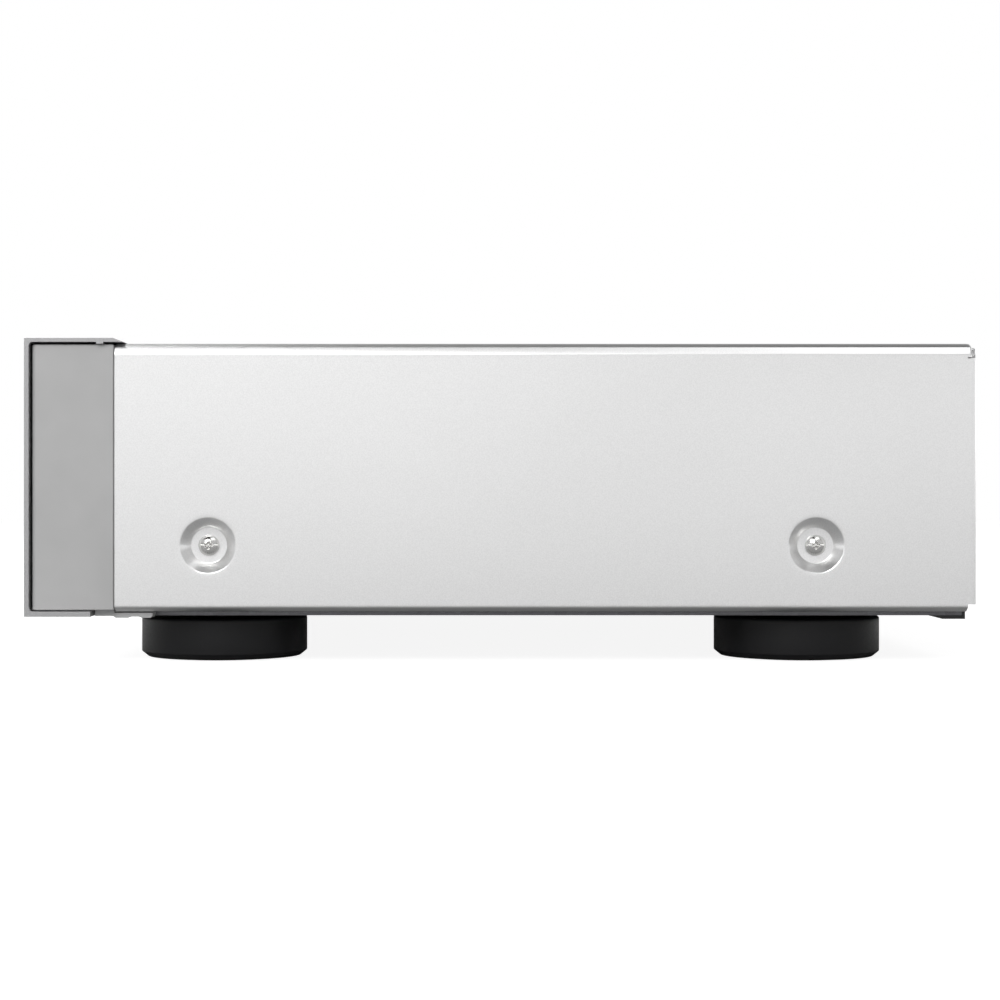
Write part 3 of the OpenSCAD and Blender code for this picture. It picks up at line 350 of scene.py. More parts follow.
def screws(name, places, outward, head, shank, steps=64, rows=18):
    """Pan-head screws. head is (radius, height) and shank (radius, length). The head is a cap of
    a ball on a straight brim, sunk by a cross whose depth fades at each arm's sides and end. The
    shank's radius follows a triangle wave of depth / pitch less the turn, which winds a thread."""
    turn = np.linspace(0, 2*np.pi, steps + 1)
    radius = np.concatenate([np.linspace(0, 0.8, rows), np.linspace(0.85, 1, 5)])[:, None]*head[0]
    brim, cap = 0.32*head[1], 0.68*head[1]
    arm_half, arm_side, arm_end, arm_fade, cross_deep = 0.36, 0.3, 1.35, 0.5, 0.42
    pitch, thread_deep = 0.5, 0.2
    ball = (head[0]**2 + cap**2)/(2*cap)
    u, v, size = radius*np.cos(turn), radius*np.sin(turn), head[0]/3.42

    def arm(across, along):
        return (np.clip((arm_half*size - np.abs(across))/(arm_side*size) + 0.5, 0, 1)
                * np.clip((arm_end*size - np.abs(along))/(arm_fade*size), 0, 1))

    dome = brim + np.sqrt(ball**2 - radius**2) - (ball - cap)
    top = np.stack([u, v, dome - cross_deep*head[1]*np.maximum(arm(u, v), arm(v, u))], -1)
    under = np.stack([u[-1:], v[-1:], np.zeros_like(u[-1:])], -1)
    deep = np.linspace(0, shank[1], int(shank[1]*8))[:, None]
    wave = np.abs(2*((deep/pitch - turn/(2*np.pi)) % 1) - 1)*np.clip((deep - 0.4)*2, 0, 1)
    thread = (shank[0] - thread_deep*wave)*np.clip((shank[1] - deep)/shank[0] + 0.4, 0, 1)
    stem = np.stack([thread*np.cos(turn), thread*np.sin(turn), np.broadcast_to(-deep, thread.shape)], -1)
    tip = np.zeros((1, steps + 1, 3))
    tip[..., 2] = -shank[1]
    shape = np.concatenate([top, under, stem, tip]) @ axes_for(outward)
    return make_piece(name, [np.array(place, float) + shape for place in places], 50)


def moulded(name, colour, rough, pits=0.006, scale=1500):
    """Moulded plastic: a fine grain of shallow pits, and tone and gloss that drift slowly."""
    material, tree, shader = new_finish(name, colour, 0, rough)
    fine, slow = grain(tree, scale, 3), grain(tree, 35, 3)
    tree.links.new(spread(tree, slow, shade(colour, 0.94), shade(colour, 1.06)), shader.inputs["Base Color"])
    tree.links.new(spread(tree, fine, rough - 0.05, rough + 0.06), shader.inputs["Roughness"])
    raise_skin(tree, shader, fine, pits)
    return material


def plated(name, colour, rough):
    """Bright plating: nearly even, with faint handling marks in its gloss."""
    material, tree, shader = new_finish(name, colour, 1, rough)
    marks = grain(tree, 700, 4)
    tree.links.new(spread(tree, marks, rough*0.7, rough*1.4), shader.inputs["Roughness"])
    tree.links.new(spread(tree, grain(tree, 240), shade(colour, 0.93), colour), shader.inputs["Base Color"])
    raise_skin(tree, shader, grain(tree, 2200), 0.0008)
    return material


foot_black = moulded("foot_black_plastic", (0.009, 0.009, 0.01), 0.44)
foot_black.node_tree.nodes["Principled BSDF"].inputs["Specular IOR Level"].default_value = 0.22
pad_rubber = moulded("pad_rubber", (0.03, 0.03, 0.03), 0.85, 0.02, 700)
zinc_screw = plated("zinc_plated_screw", (0.66, 0.67, 0.68), 0.28)
for place, word in zip(foot_places, ("front_left", "front_right", "rear_left", "rear_right")):
    fit(turned(f"foot_shell_{word}", filleted(foot_profile, foot_bends), [place], steps=128),
        "case", foot_black, f"foot_{word}", f"foot_{word}")
fit(turned("foot_rings", filleted(pad_profile, pad_bends, 4), foot_places), "case", pad_rubber,
    "foot_pads", "foot_pads")
fit(screws("foot_bolts", [(x, y, 9) for x, y, z in foot_places], (0, 0, -1), (4, 2.6), (1.9, 11)),
    "case", zinc_screw, "foot_screws", "foot_screws")

# ---- Circuit boards ----
# The signal board is glass fibre under green lacquer, and the supply board brown phenolic paper.
# Copper tracks show through the lacquer. Both are screwed to posts on the base.
def printed_board(name, lacquer, track, pad):
    """Lacquered board: tracks are thin bands of a distorted wave where a slow noise allows them,
    pads are the middles of scattered cells."""
    material, tree, shader = new_finish(name, lacquer, 0.1, 0.35)
    place = tree.nodes.new("ShaderNodeTexCoord")
    bands = tree.nodes.new("ShaderNodeTexWave")
    bands.inputs["Scale"].default_value = 160
    bands.inputs["Distortion"].default_value = 3
    dots = tree.nodes.new("ShaderNodeTexVoronoi")
    dots.inputs["Scale"].default_value = 300
    tree.links.new(place.outputs["Object"], bands.inputs["Vector"])
    tree.links.new(place.outputs["Object"], dots.inputs["Vector"])
    copper = spread(tree, bands.outputs["Fac"], lacquer, track, (0.62, 0.68))
    allowed = spread(tree, grain(tree, 70, 1), 0.0, 1.0, (0.48, 0.52))
    laid = tree.nodes.new("ShaderNodeMix")
    laid.data_type = "RGBA"
    laid.inputs[6].default_value = (*lacquer, 1)
    tree.links.new(allowed, laid.inputs["Factor"])
    tree.links.new(copper, laid.inputs[7])
    tinned = tree.nodes.new("ShaderNodeMix")
    tinned.data_type = "RGBA"
    tinned.inputs[7].default_value = (*pad, 1)
    tree.links.new(laid.outputs[2], tinned.inputs[6])
    tree.links.new(spread(tree, dots.outputs["Distance"], 1.0, 0.0, (0.12, 0.16)), tinned.inputs["Factor"])
    tree.links.new(tinned.outputs[2], shader.inputs["Base Color"])
    tree.links.new(spread(tree, grain(tree, 500), 0.28, 0.42), shader.inputs["Roughness"])
    raise_skin(tree, shader, bands.outputs["Fac"], 0.03)
    return material


green_board = printed_board("green_lacquered_board", (0.02, 0.13, 0.05), (0.05, 0.25, 0.09), (0.7, 0.7, 0.68))
brown_board = printed_board("brown_phenolic_board", (0.36, 0.21, 0.08), (0.5, 0.32, 0.14), (0.7, 0.7, 0.68))
refinish("main_board", green_board)
refinish("power_board", brown_board)

# ---- Board parts ----
# Capacitors in shrunk black sleeves with bare aluminium tops, black moulded chips, a crystal,
# a choke, a fuse, and an extruded aluminium cooler with seven fins.
board_top = 28.6


def second_finish(piece, material, boxes):
    """Faces whose middles lie in one of the boxes, each (lowest, highest) in millimetres, get a
    second material."""
    mesh = piece.data
    mesh.materials.append(material)
    middles = np.zeros(len(mesh.polygons)*3)
    mesh.polygons.foreach_get("center", middles)
    middles = middles.reshape(-1, 3)/mm
    inside = np.zeros(len(middles), bool)
    for low, high in boxes:
        inside |= ((middles > low) & (middles < high)).all(1)
    chosen = np.zeros(len(middles), np.int32)
    mesh.polygons.foreach_get("material_index", chosen)
    chosen[inside] = len(mesh.materials) - 1
    mesh.polygons.foreach_set("material_index", chosen)


sleeve = moulded("black_sleeve", (0.025, 0.026, 0.035), 0.32, 0.002)
bare_aluminium = plated("bare_aluminium", (0.76, 0.77, 0.78), 0.38)
parts = fit(eased("board_components", "board_parts", 0.15), "case", sleeve, "board_parts", "board_parts")
second_finish(parts, bare_aluminium, [((-160.5, 91, 26), (-117, 107, 70)), ((160, 20, 20), (176, 35, 40)),
                                      ((-190, 40, board_top + 29.9), (-90, 75, board_top + 30.1)),
                                      ((-137, 40, board_top + 23.9), (-110, 75, board_top + 24.1))])

# ---- Mains transformer ----
# A stack of thin varnished iron sheets round a wound and taped coil. The bottom sheets' feet
# are held to the base by four screws.
def laminations(name, colour, pitch_mm):
    """Stacked sheets: fine ridges across Y at the sheets' pitch, and uneven varnish."""
    material, tree, shader = new_finish(name, colour, 0.6, 0.42)
    place = tree.nodes.new("ShaderNodeTexCoord")
    ridges = tree.nodes.new("ShaderNodeTexWave")
    ridges.bands_direction = "Y"
    ridges.inputs["Scale"].default_value = 1000/pitch_mm/20
    ridges.inputs["Distortion"].default_value = 0.4
    tree.links.new(place.outputs["Object"], ridges.inputs["Vector"])
    tree.links.new(spread(tree, grain(tree, 90, 4), shade(colour, 0.6), shade(colour, 1.3)),
                   shader.inputs["Base Color"])
    tree.links.new(spread(tree, grain(tree, 160, 3), 0.3, 0.55), shader.inputs["Roughness"])
    raise_skin(tree, shader, ridges.outputs["Fac"], 0.05)
    return material


varnished_iron = laminations("varnished_iron", (0.16, 0.14, 0.13), 0.5)
coil_tape = moulded("yellow_coil_tape", (0.62, 0.45, 0.07), 0.3, 0.01, 220)
core = fit(eased("transformer_core", "transformer", 0.3), "case", varnished_iron, "transformer",
           "transformer")
second_finish(core, coil_tape, [((-170.1, -77, 30), (-119.9, -43, 52.1))])

# ---- Loader ----
# A moulded black frame on four legs carries the drawer on its rails. A motor drives it through
# a belt and acetal gears, and a slotted slide lifts the traverse. A steel bridge spans the top.
loader_black = moulded("loader_black_plastic", (0.03, 0.03, 0.032), 0.5)
acetal = moulded("natural_acetal", (0.84, 0.83, 0.79), 0.38, 0.002, 900)
nickel_can = plated("nickel_motor_can", (0.68, 0.68, 0.67), 0.24)
brass = plated("turned_brass", (0.78, 0.58, 0.27), 0.25)
belt_rubber = moulded("belt_rubber", (0.02, 0.02, 0.02), 0.62, 0.008, 900)
fit(eased("loader_deck", "loader_frame", 0.25), "case", loader_black, "loader_frame", "loader_frame")
fit(eased("bridge_plate", "clamp_bridge", 0.15), "case", zinc, "clamp_bridge", "clamp_bridge")
fit(eased("cam_slide_bar", "cam_slide", 0.2), "cam_slide", acetal, "cam_slide", "cam_slide")
for node, material in (("tray_gear", acetal), ("pulley_gear", acetal), ("motor_pulley", brass),
                       ("drive_belt", belt_rubber), ("loading_motor", nickel_can),
                       ("inner_screws", zinc_screw)):
    refinish(node, material)

# ---- Traverse ----
# A dark moulded frame, hinged at its back, holds the spindle motor and two ground rods. The
# pickup's sled slides on them, moved by a small motor and an acetal gear that meets its rack.
traverse_grey = moulded("traverse_grey_plastic", (0.07, 0.07, 0.075), 0.5)
ground_steel = plated("ground_steel", (0.72, 0.72, 0.73), 0.12)
cast_zinc = zinc_plate("cast_zinc", (0.42, 0.43, 0.45), 0.5)
hub_black = moulded("hub_black_plastic", (0.02, 0.02, 0.022), 0.3, 0.003)
coated_lens = plated("coated_lens", (0.22, 0.26, 0.5), 0.06)
fit(eased("traverse_tray", "traverse_frame", 0.2), "traverse", traverse_grey, "traverse_frame",
    "traverse_frame")
fit(eased("sled_casting", "pickup_sled", 0.2), "sled", cast_zinc, "pickup_sled", "pickup_sled")
for node, material in (("spindle_motor", nickel_can), ("guide_rods", ground_steel),
                       ("turntable", hub_black), ("feed_motor", nickel_can), ("feed_gear", acetal),
                       ("feed_pinion", brass), ("clamp_puck", hub_black)):
    refinish(node, material)
lens = fit(eased("lens_holder", "pickup_lens", 0.12), "lens", hub_black, "pickup_lens", "pickup_lens")
second_finish(lens, coated_lens, [((-3.2, -200, 82.15), (3.2, 200, 84))])

# ---- Drawer ----
# A moulded black tray with steps for a large and a small disc, open along its middle for the
# pickup. Its front is a brushed aluminium bar that closes flush with the panel.
def brushed(name, colour, rough, along=0):
    """Brushed and anodised aluminium: hair lines drawn out along one axis."""
    material, tree, shader = new_finish(name, colour, 1, rough)
    stretch = [1.0, 1.0, 1.0]
    stretch[along] = 0.004
    hair = grain(tree, 3800, 4, stretch)
    tree.links.new(spread(tree, hair, shade(colour, 0.94), shade(colour, 1.04)), shader.inputs["Base Color"])
    tree.links.new(spread(tree, hair, rough - 0.06, rough + 0.08), shader.inputs["Roughness"])
    raise_skin(tree, shader, hair, 0.002)
    return material


tray_black = moulded("tray_black_plastic", (0.02, 0.02, 0.022), 0.38, 0.004)
brushed_silver = brushed("brushed_silver_aluminium", (0.74, 0.74, 0.745), 0.34)
fit(eased("drawer_tray", "disc_tray", 0.3), "tray", tray_black, "disc_tray", "disc_tray")
fit(eased("drawer_front", "tray_door", 0.3, 3), "tray", brushed_silver, "tray_door", "tray_door")

# ---- Back panel ----
# A flat steel sheet, sprayed satin black, with a rolled lip along its lower edge. It carries
# the sockets.
def sprayed_paint(name, colour, metal, rough, flake, skin=0.004):
    """Spray paint: fine flakes that vary the colour, a gloss that drifts slowly from place to
    place, and a faint orange-peel skin."""
    material, tree, shader = new_finish(name, colour, metal, rough)
    tree.links.new(spread(tree, grain(tree, 2600), shade(colour, 1 - flake), shade(colour, 1 + flake)),
                   shader.inputs["Base Color"])
    tree.links.new(spread(tree, grain(tree, 9, 1), rough - 0.03, rough + 0.03, (0, 1)),
                   shader.inputs["Roughness"])
    raise_skin(tree, shader, grain(tree, 900), skin)
    return material


satin_black = sprayed_paint("satin_black_paint", (0.016, 0.016, 0.018), 0.0, 0.42, 0.25, 0.01)
fit(eased("back_sheet", "rear_panel", 0.3, 3), "case", satin_black, "rear_panel", "rear_panel")

# ---- Audio sockets ----
# Phono sockets: a gold-plated barrel with a moulded insert, in a coloured collar, on a black
# housing that is soldered to the board. The optical socket has a sprung door.
left_right, digital, jack_face, jack_base = ((150, 66), (150, 50)), (122, 40), 165.4, 153.0
collar_profile = [(4.15, 0), (6.4, 0), (6.4, 3.5), (4.15, 3.5), (4.15, 0)]
barrel_profile = [(0, 3.4), (1.65, 3.4), (1.65, 10.9), (1.65, 11.4), (3.5, 11.4), (3.5, 12.4), (4.15, 12.4),
                  (4.15, 3.6), (4.1, 0), (0, 0)]
barrel_bends = [0, 0, 0, 0, 0.1, 0.15, 0.3, 0, 0, 0]


def rounded_ring(width, height, radius, steps=6):
    """The outline of a rounded rectangle round (0, 0), a quarter circle at each corner."""
    a = np.linspace(0, np.pi/2, steps + 1)
    quarter = np.stack([np.cos(a), np.sin(a)], 1)*radius
    corner = np.array([width/2 - radius, height/2 - radius])
    top_right, top_left = quarter + corner, quarter[::-1]*(-1, 1) + corner*(-1, 1)
    low_left, low_right = -quarter - corner, quarter[::-1]*(1, -1) + corner*(1, -1)
    return np.concatenate([top_right, top_left, low_left, low_right, top_right[:1]])


def block_grid(width, height, radius, rows):
    """Rounded rectangles stacked along a direction: each row is (drawn in by, height), and the
    first and last rows close to their middle."""
    rings = [rounded_ring(width - 2*inset, height - 2*inset, max(radius - inset, 0.02))
             for inset, level in rows]
    rings = [rings[0]*0] + rings + [rings[-1]*0]
    levels = [rows[0][1]] + [level for inset, level in rows] + [rows[-1][1]]
    return np.concatenate([np.array(rings), np.broadcast_to(np.array(levels)[:, None, None],
                                                            (len(rings), len(rings[0]), 1))], -1)


def block(name, places, outward, width, height, radius, low, high, edge=0.25, sharp=40):
    """Equal blocks from low to high along outward, their outer edges rounded by edge."""
    t = np.linspace(0, np.pi/2, 4)
    rows = [(0, low)] + [(edge*(1 - np.cos(a)), high - edge*(1 - np.sin(a))) for a in t]
    shape = block_grid(width, height, radius, rows) @ axes_for(outward)
    return make_piece(name, [np.array(place, float) + shape for place in places], sharp)


gold = plated("gold_plate", (0.85, 0.62, 0.27), 0.16)
socket_black = moulded("socket_black_plastic", (0.02, 0.02, 0.021), 0.4, 0.004)
collar_red = moulded("collar_red_plastic", (0.42, 0.015, 0.015), 0.35, 0.002)
collar_white = moulded("collar_white_plastic", (0.78, 0.78, 0.75), 0.35, 0.002)
collar_orange = moulded("collar_orange_plastic", (0.6, 0.17, 0.02), 0.35, 0.002)
to_back = (0, 1, 0)
for word, places, node in (("analog", left_right, "analog_output_jacks"),
                           ("digital", (digital,), "coaxial_output_jack")):
    bases = [(x, jack_base, z) for x, z in places]
    barrels = turned(f"{word}_barrels", filleted(barrel_profile, barrel_bends, 3), bases, to_back, 64)
    fit(barrels, "case", gold, node, node)
    second_finish(barrels, socket_black, [((x - 3.2, 156, z - 3.2), (x + 3.2, jack_face - 0.9, z + 3.2))
                                          for x, z in places])
for word, place, material, node in (
        ("left", left_right[0], collar_white, "analog_output_jacks"),
        ("right", left_right[1], collar_red, "analog_output_jacks"),
        ("digital", digital, collar_orange, "coaxial_output_jack")):
    fit(turned(f"{word}_collar", filleted(collar_profile, [0, 0.1, 0.5, 0.2, 0], 4),
               [(place[0], jack_base, place[1])], to_back, 64), "case", material, node)
fit(block("analog_housing", [(150, 138, 51.3)], to_back, 16, 45.4, 0.8, 0, 15.6), "case", socket_black,
    "analog_output_jacks")
fit(block("digital_housing", [(122, 138, 38.3)], to_back, 16, 19.4, 0.8, 0, 15.6), "case", socket_black,
    "coaxial_output_jack")
fit(eased("optical_housing", "optical_output_jack", 0.2), "case", socket_black, "optical_output_jack",
    "optical_output_jack")
fit(eased("optical_door", "optical_shutter", 0.15), "optical_shutter",
    moulded("optical_door_grey", (0.08, 0.08, 0.085), 0.35, 0.003), "optical_shutter", "optical_shutter")

# ---- Mains inlet ----
# A two-pin inlet moulded in black plastic, with nickel-plated pins. Its flange is held to the
# back panel by two screws.
inlet_x, inlet_z = -165, 50
nickel = plated("nickel_plate", (0.76, 0.755, 0.74), 0.2)
inlet = fit(eased("inlet_moulding", "ac_inlet", 0.25), "case", socket_black, "ac_inlet", "ac_inlet")
second_finish(inlet, nickel, [((inlet_x + side*7 - 1.1, 142.6, inlet_z - 0.2),
                               (inlet_x + side*7 + 1.1, 155.2, inlet_z + 4.2)) for side in (-1, 1)])

# ---- Back screws ----
# Blackened steel pan-head screws: three up each side flange of the cover, five along the
# bottom of the back panel, and two in the mains inlet.
side_screw_x, side_screw_zs, side_head = 208.5, (30, 62, 94), (2.6, 0.8)
low_screw_xs, low_screw_z = (-190, -80, 0, 72, 190), 22.5
flange_back, panel_rear, inlet_face = 156.0, 154.9, 157.4
black_oxide = plated("black_oxide_screw", (0.045, 0.045, 0.05), 0.3)
fit(screws("flange_screws", [(side*side_screw_x, flange_back, z) for side in (-1, 1) for z in side_screw_zs],
           to_back, side_head, (1.2, 8), 40, 14), "case", black_oxide, "rear_screws", "rear_screws")
fit(screws("lower_screws", [(x, panel_rear, low_screw_z) for x in low_screw_xs], to_back, (2.8, 1.9),
           (1.2, 6), 40, 14), "case", black_oxide, "rear_screws")
fit(screws("inlet_screws", [(inlet_x + side*20, inlet_face, inlet_z) for side in (-1, 1)], to_back,
           (2.8, 1.9), (1.4, 8), 40, 14), "case", black_oxide, "rear_screws")

# ---- Front frame ----
# A grey moulding behind the aluminium panel. It holds the display and the controls, and its
# tongues reach back under the base. A cap of the same plastic closes each end.
end_grey = moulded("end_cap_grey_plastic", (0.42, 0.42, 0.42), 0.5, 0.004, 1800)
fit(eased("frame_moulding", "front_frame", 0.2), "case", end_grey, "front_frame", "front_frame")
for side in ("left", "right"):
    fit(eased(f"cap_{side}", f"end_cap_{side}", 0.5, 4), "case", end_grey, f"end_cap_{side}",
        f"end_cap_{side}")

# ---- Display ----
# A flat vacuum tube of grey glass stands on the front board, behind a window of smoked
# acrylic that is set into the panel.
def dotted_glass(name, colour, dot):
    """Grey glass over a matrix of unlit dots, a brick pattern without offset."""
    material, tree, shader = new_finish(name, colour, 0, 0.08)
    place = tree.nodes.new("ShaderNodeTexCoord")
    turn = tree.nodes.new("ShaderNodeMapping")
    turn.inputs["Rotation"].default_value = (np.radians(90), 0, 0)
    cells = tree.nodes.new("ShaderNodeTexBrick")
    cells.offset = 0
    cells.inputs["Scale"].default_value = 900
    cells.inputs["Brick Width"].default_value = 1
    cells.inputs["Row Height"].default_value = 1
    cells.inputs["Mortar Size"].default_value = 0.14
    cells.inputs["Color1"].default_value = (*dot, 1)
    cells.inputs["Color2"].default_value = (*shade(dot, 0.9), 1)
    cells.inputs["Mortar"].default_value = (*colour, 1)
    tree.links.new(place.outputs["Object"], turn.inputs["Vector"])
    tree.links.new(turn.outputs[0], cells.inputs["Vector"])
    tree.links.new(cells.outputs["Color"], shader.inputs["Base Color"])
    tree.links.new(spread(tree, grain(tree, 200), 0.05, 0.12), shader.inputs["Roughness"])
    return material


def smoked_acrylic(name, tint, see):
    """Polished acrylic: dark and glossy, letting a share of what is behind it through."""
    material, tree, shader = new_finish(name, tint, 0, 0.05)
    shader.inputs["IOR"].default_value = 1.49
    shader.inputs["Alpha"].default_value = 1 - see
    tree.links.new(spread(tree, grain(tree, 60, 2), shade(tint, 0.9), shade(tint, 1.1)),
                   shader.inputs["Base Color"])
    tree.links.new(spread(tree, grain(tree, 400, 3), 0.03, 0.08), shader.inputs["Roughness"])
    return material


refinish("display_board", green_board)
refinish("display_tube", dotted_glass("display_tube_glass", (0.035, 0.04, 0.042), (0.075, 0.09, 0.09)))
fit(eased("window_pane", "display_window", 0.3, 3), "case",
    smoked_acrylic("smoked_acrylic", (0.012, 0.012, 0.015), 0.35), "display_window", "display_window")

# ---- Front sockets and lamp ----
# A type-A data socket in a tinned steel shell, a headphone socket with a plated ring in its
# moulded nose, a level control and a small red standby lamp.
usb = fit(eased("data_socket", "usb_socket", 0.1), "case", nickel, "usb_socket", "usb_socket")
second_finish(usb, socket_black, [((-191.6, -154.8, 40.1), (-180.4, -142, 42.3))])
phones = fit(eased("headphone_socket", "headphone_jack", 0.3, 3), "case", socket_black, "headphone_jack",
             "headphone_jack")
second_finish(phones, gold, [((-125.35, -153.5, 36.65), (-118.65, -140, 43.35))])
fit(eased("level_control", "level_potentiometer", 0.15), "case", zinc, "level_potentiometer",
    "level_potentiometer")
lamp_red = moulded("red_lamp_lens", (0.35, 0.012, 0.012), 0.18, 0.001)
fit(turned("standby_lens", filleted([(0, 12.8), (1.2, 12.8), (1.2, 1), (1.9, 1), (1.9, 0), (0, 0)],
                                    [0, 0.7, 0, 0.1, 0.1, 0], 5), [(-186, -143.0, 66)], (0, -1, 0), 32),
    "case", lamp_red, "standby_led", "standby_led")

# ---- Front panel ----
# One aluminium extrusion with a thick front wall, a top that reaches back over the cover and a
# short floor, brushed along its length and anodised silver. Its sawn ends get a matt, darker
# grey: painted shade for the little light that reaches them.
front_edge, panel_end = 0.45, 216.9
panel_end_painted_shade = sprayed_paint("panel_end_painted_shade_finish", (0.40, 0.40, 0.405), 0.7, 0.5, 0.06, 0.006)
extrusion = fit(eased("front_extrusion", "front_panel", front_edge, 3), "case", brushed_silver, "front_panel",
                "front_panel")
# The sawn end faces get a darker grey, which is painted shade.
second_finish(extrusion, panel_end_painted_shade, [((-218, -170, 0), (-panel_end, -100, 120)),
                                       ((panel_end, -170, 0), (218, -100, 120))])

# ---- Level knob ----
# Turned from aluminium bar: a fine-fluted side, a polished chamfer, and a face with rings of
# turning marks and one cut line that shows the level.
knob_x, knob_z, knob_back, knob_r = -153, 40, -156.1, 9.0
knob_face, knob_shaft_r, knob_shaft_end = 9.3, 3, -23.1
knob_flutes, flute_deep = 90, 0.12
cut_half, cut_from, cut_to, cut_deep = 0.5, 2, 7.9, 0.45


def turned_metal(name, colour, rough, centre_x, centre_z):
    """Faced aluminium: noise on the distance from the axis alone gives rings round it."""
    material, tree, shader = new_finish(name, colour, 1, rough)
    place = tree.nodes.new("ShaderNodeTexCoord")
    centred = tree.nodes.new("ShaderNodeMapping")
    centred.inputs["Location"].default_value = (-centre_x*mm, 0, -centre_z*mm)
    flat = tree.nodes.new("ShaderNodeVectorMath")
    flat.operation = "MULTIPLY"
    flat.inputs[1].default_value = (1, 0, 1)
    far = tree.nodes.new("ShaderNodeVectorMath")
    far.operation = "LENGTH"
    rings = tree.nodes.new("ShaderNodeTexNoise")
    rings.noise_dimensions = "1D"
    rings.inputs["Scale"].default_value = 7000
    rings.inputs["Detail"].default_value = 3
    tree.links.new(place.outputs["Object"], centred.inputs["Vector"])
    tree.links.new(centred.outputs[0], flat.inputs[0])
    tree.links.new(flat.outputs[0], far.inputs[0])
    tree.links.new(far.outputs["Value"], rings.inputs["W"])
    ring = rings.outputs["Fac"]
    tree.links.new(spread(tree, ring, shade(colour, 0.9), shade(colour, 1.05)), shader.inputs["Base Color"])
    tree.links.new(spread(tree, ring, rough - 0.05, rough + 0.08), shader.inputs["Roughness"])
    raise_skin(tree, shader, ring, 0.002)
    return material


def knob_grid():
    """The knob from its face's middle over the chamfer and side to its shaft. The side's radius
    dips by half the flute's depth times 1 - cos(flutes x turn), and the face is lower where
    |across| is under the cut's half width and up lies between its ends."""
    turn = np.linspace(0, 2*np.pi, knob_flutes*4 + 1)
    line = [(r, knob_face) for r in np.linspace(0, cut_to, 46)]
    line += [(8.2, 9.28), (knob_r, 8.5), (knob_r, 8.3)]
    line += [(knob_r, h) for h in np.linspace(7.6, 1.2, 3)] + [(knob_r, 0.5), (8.8, 0)]
    line += [(knob_shaft_r, 0), (knob_shaft_r, knob_shaft_end), (0, knob_shaft_end)]
    r, h = np.array(line).T
    fluted = ((h > 0.4) & (h < 7.7))[:, None]
    radius = r[:, None] - fluted*flute_deep/2*(1 - np.cos(knob_flutes*turn))
    across, up = radius*np.cos(turn), radius*np.sin(turn)
    cut = np.clip((cut_half - np.abs(across))/0.12, 0, 1)
    cut = cut*np.clip((up - cut_from)/0.2, 0, 1)*np.clip((cut_to - up)/0.2, 0, 1)
    height = h[:, None] - cut_deep*cut*(h[:, None] > knob_face - 0.05)
    return np.stack([across, up, height], -1)


to_front = (0, -1, 0)
satin_knob = turned_metal("turned_knob_aluminium", (0.76, 0.76, 0.765), 0.26, knob_x, knob_z)
fit(make_piece("level_dial", [np.array((knob_x, knob_back, knob_z)) + knob_grid() @ axes_for(to_front)], 40),
    "level_knob", satin_knob, "level_knob", "level_knob")

# ---- Buttons ----
# Turned aluminium caps, slightly dished, each with a flange behind the panel and a stem that
# meets its switch. The drawer's button is a long pill. Their signs are sprayed on, dark grey.
button_back, cap_high, stem_r, stem_end = -152.9, 4.7, 1.6, -7.6
buttons = [("power", -186, 82, 14), ("play", 152, 48, 23), ("stop", 186, 48, 14),
           ("skip_back", 102, 48, 14), ("skip_forward", 123, 48, 14)]
pill_x, pill_z, pill_wide, pill_tall = 114, 82.0, 28.4, 11.4
button_places = {word: (x, z) for word, x, z, across in buttons} | {"open_close": (pill_x, pill_z)}
sign_grey = moulded("sign_grey_paint", (0.03, 0.03, 0.032), 0.5, 0.001)
sign_low, sign_high, dish = 4.3, 4.62, 0.22


def sign(word, shapes):
    """Raised marks on a button's cap: each convex outline, in millimetres right and up from the
    cap's middle, is carried from inside the cap to just above its dished face."""
    centre, grids = button_places[word], []
    for outline in shapes:
        points = np.array([*outline, outline[0]], float)
        middle = points[:-1].mean(0)
        rings = np.array([middle + (points - middle)*k for k in (0, 1, 1, 0)])
        level = np.array([sign_low, sign_low, sign_high, sign_high])[:, None]
        grids.append(np.stack([centre[0] + rings[..., 0],
                               button_back - np.broadcast_to(level, rings.shape[:2]),
                               centre[1] + rings[..., 1]], -1))
    fit(make_piece(f"{word}_sign", grids, 30), f"{word}_button", sign_grey, f"{word}_button")


def bar(x, half_width, half_height):
    """An upright bar whose middle is x to the right: its four corners in turn."""
    return [(x - half_width, -half_height), (x + half_width, -half_height),
            (x + half_width, half_height), (x - half_width, half_height)]


def arrow(x, size, way):
    """A triangle that points right (way 1) or left (way -1), its middle x to the right."""
    return [(x - way*size/2, -size*0.58), (x + way*size/2, 0), (x - way*size/2, size*0.58)]


for word, x, z, across in buttons:
    r = across/2
    share = np.linspace(0, 1, 12)
    dished = np.stack([share*(r - 0.9), cap_high - dish*(1 - share**2)], 1)
    rim = filleted([(r - 0.9, cap_high), (r - 0.45, cap_high), (r, cap_high - 0.45), (r, 1), (r + 1.2, 1),
                    (r + 1.2, 0), (stem_r, 0), (stem_r, stem_end), (0, stem_end)],
                   [0, 0.12, 0.12, 0.1, 0.1, 0.1, 0.1, 0.2, 0], 3)
    profile = np.concatenate([dished, rim])
    metal = turned_metal(f"turned_{word}_aluminium", (0.76, 0.76, 0.765), 0.27, x, z)
    fit(turned(f"{word}_cap", profile, [(x, button_back, z)], to_front, 96),
        f"{word}_button", metal, f"{word}_button", f"{word}_button")

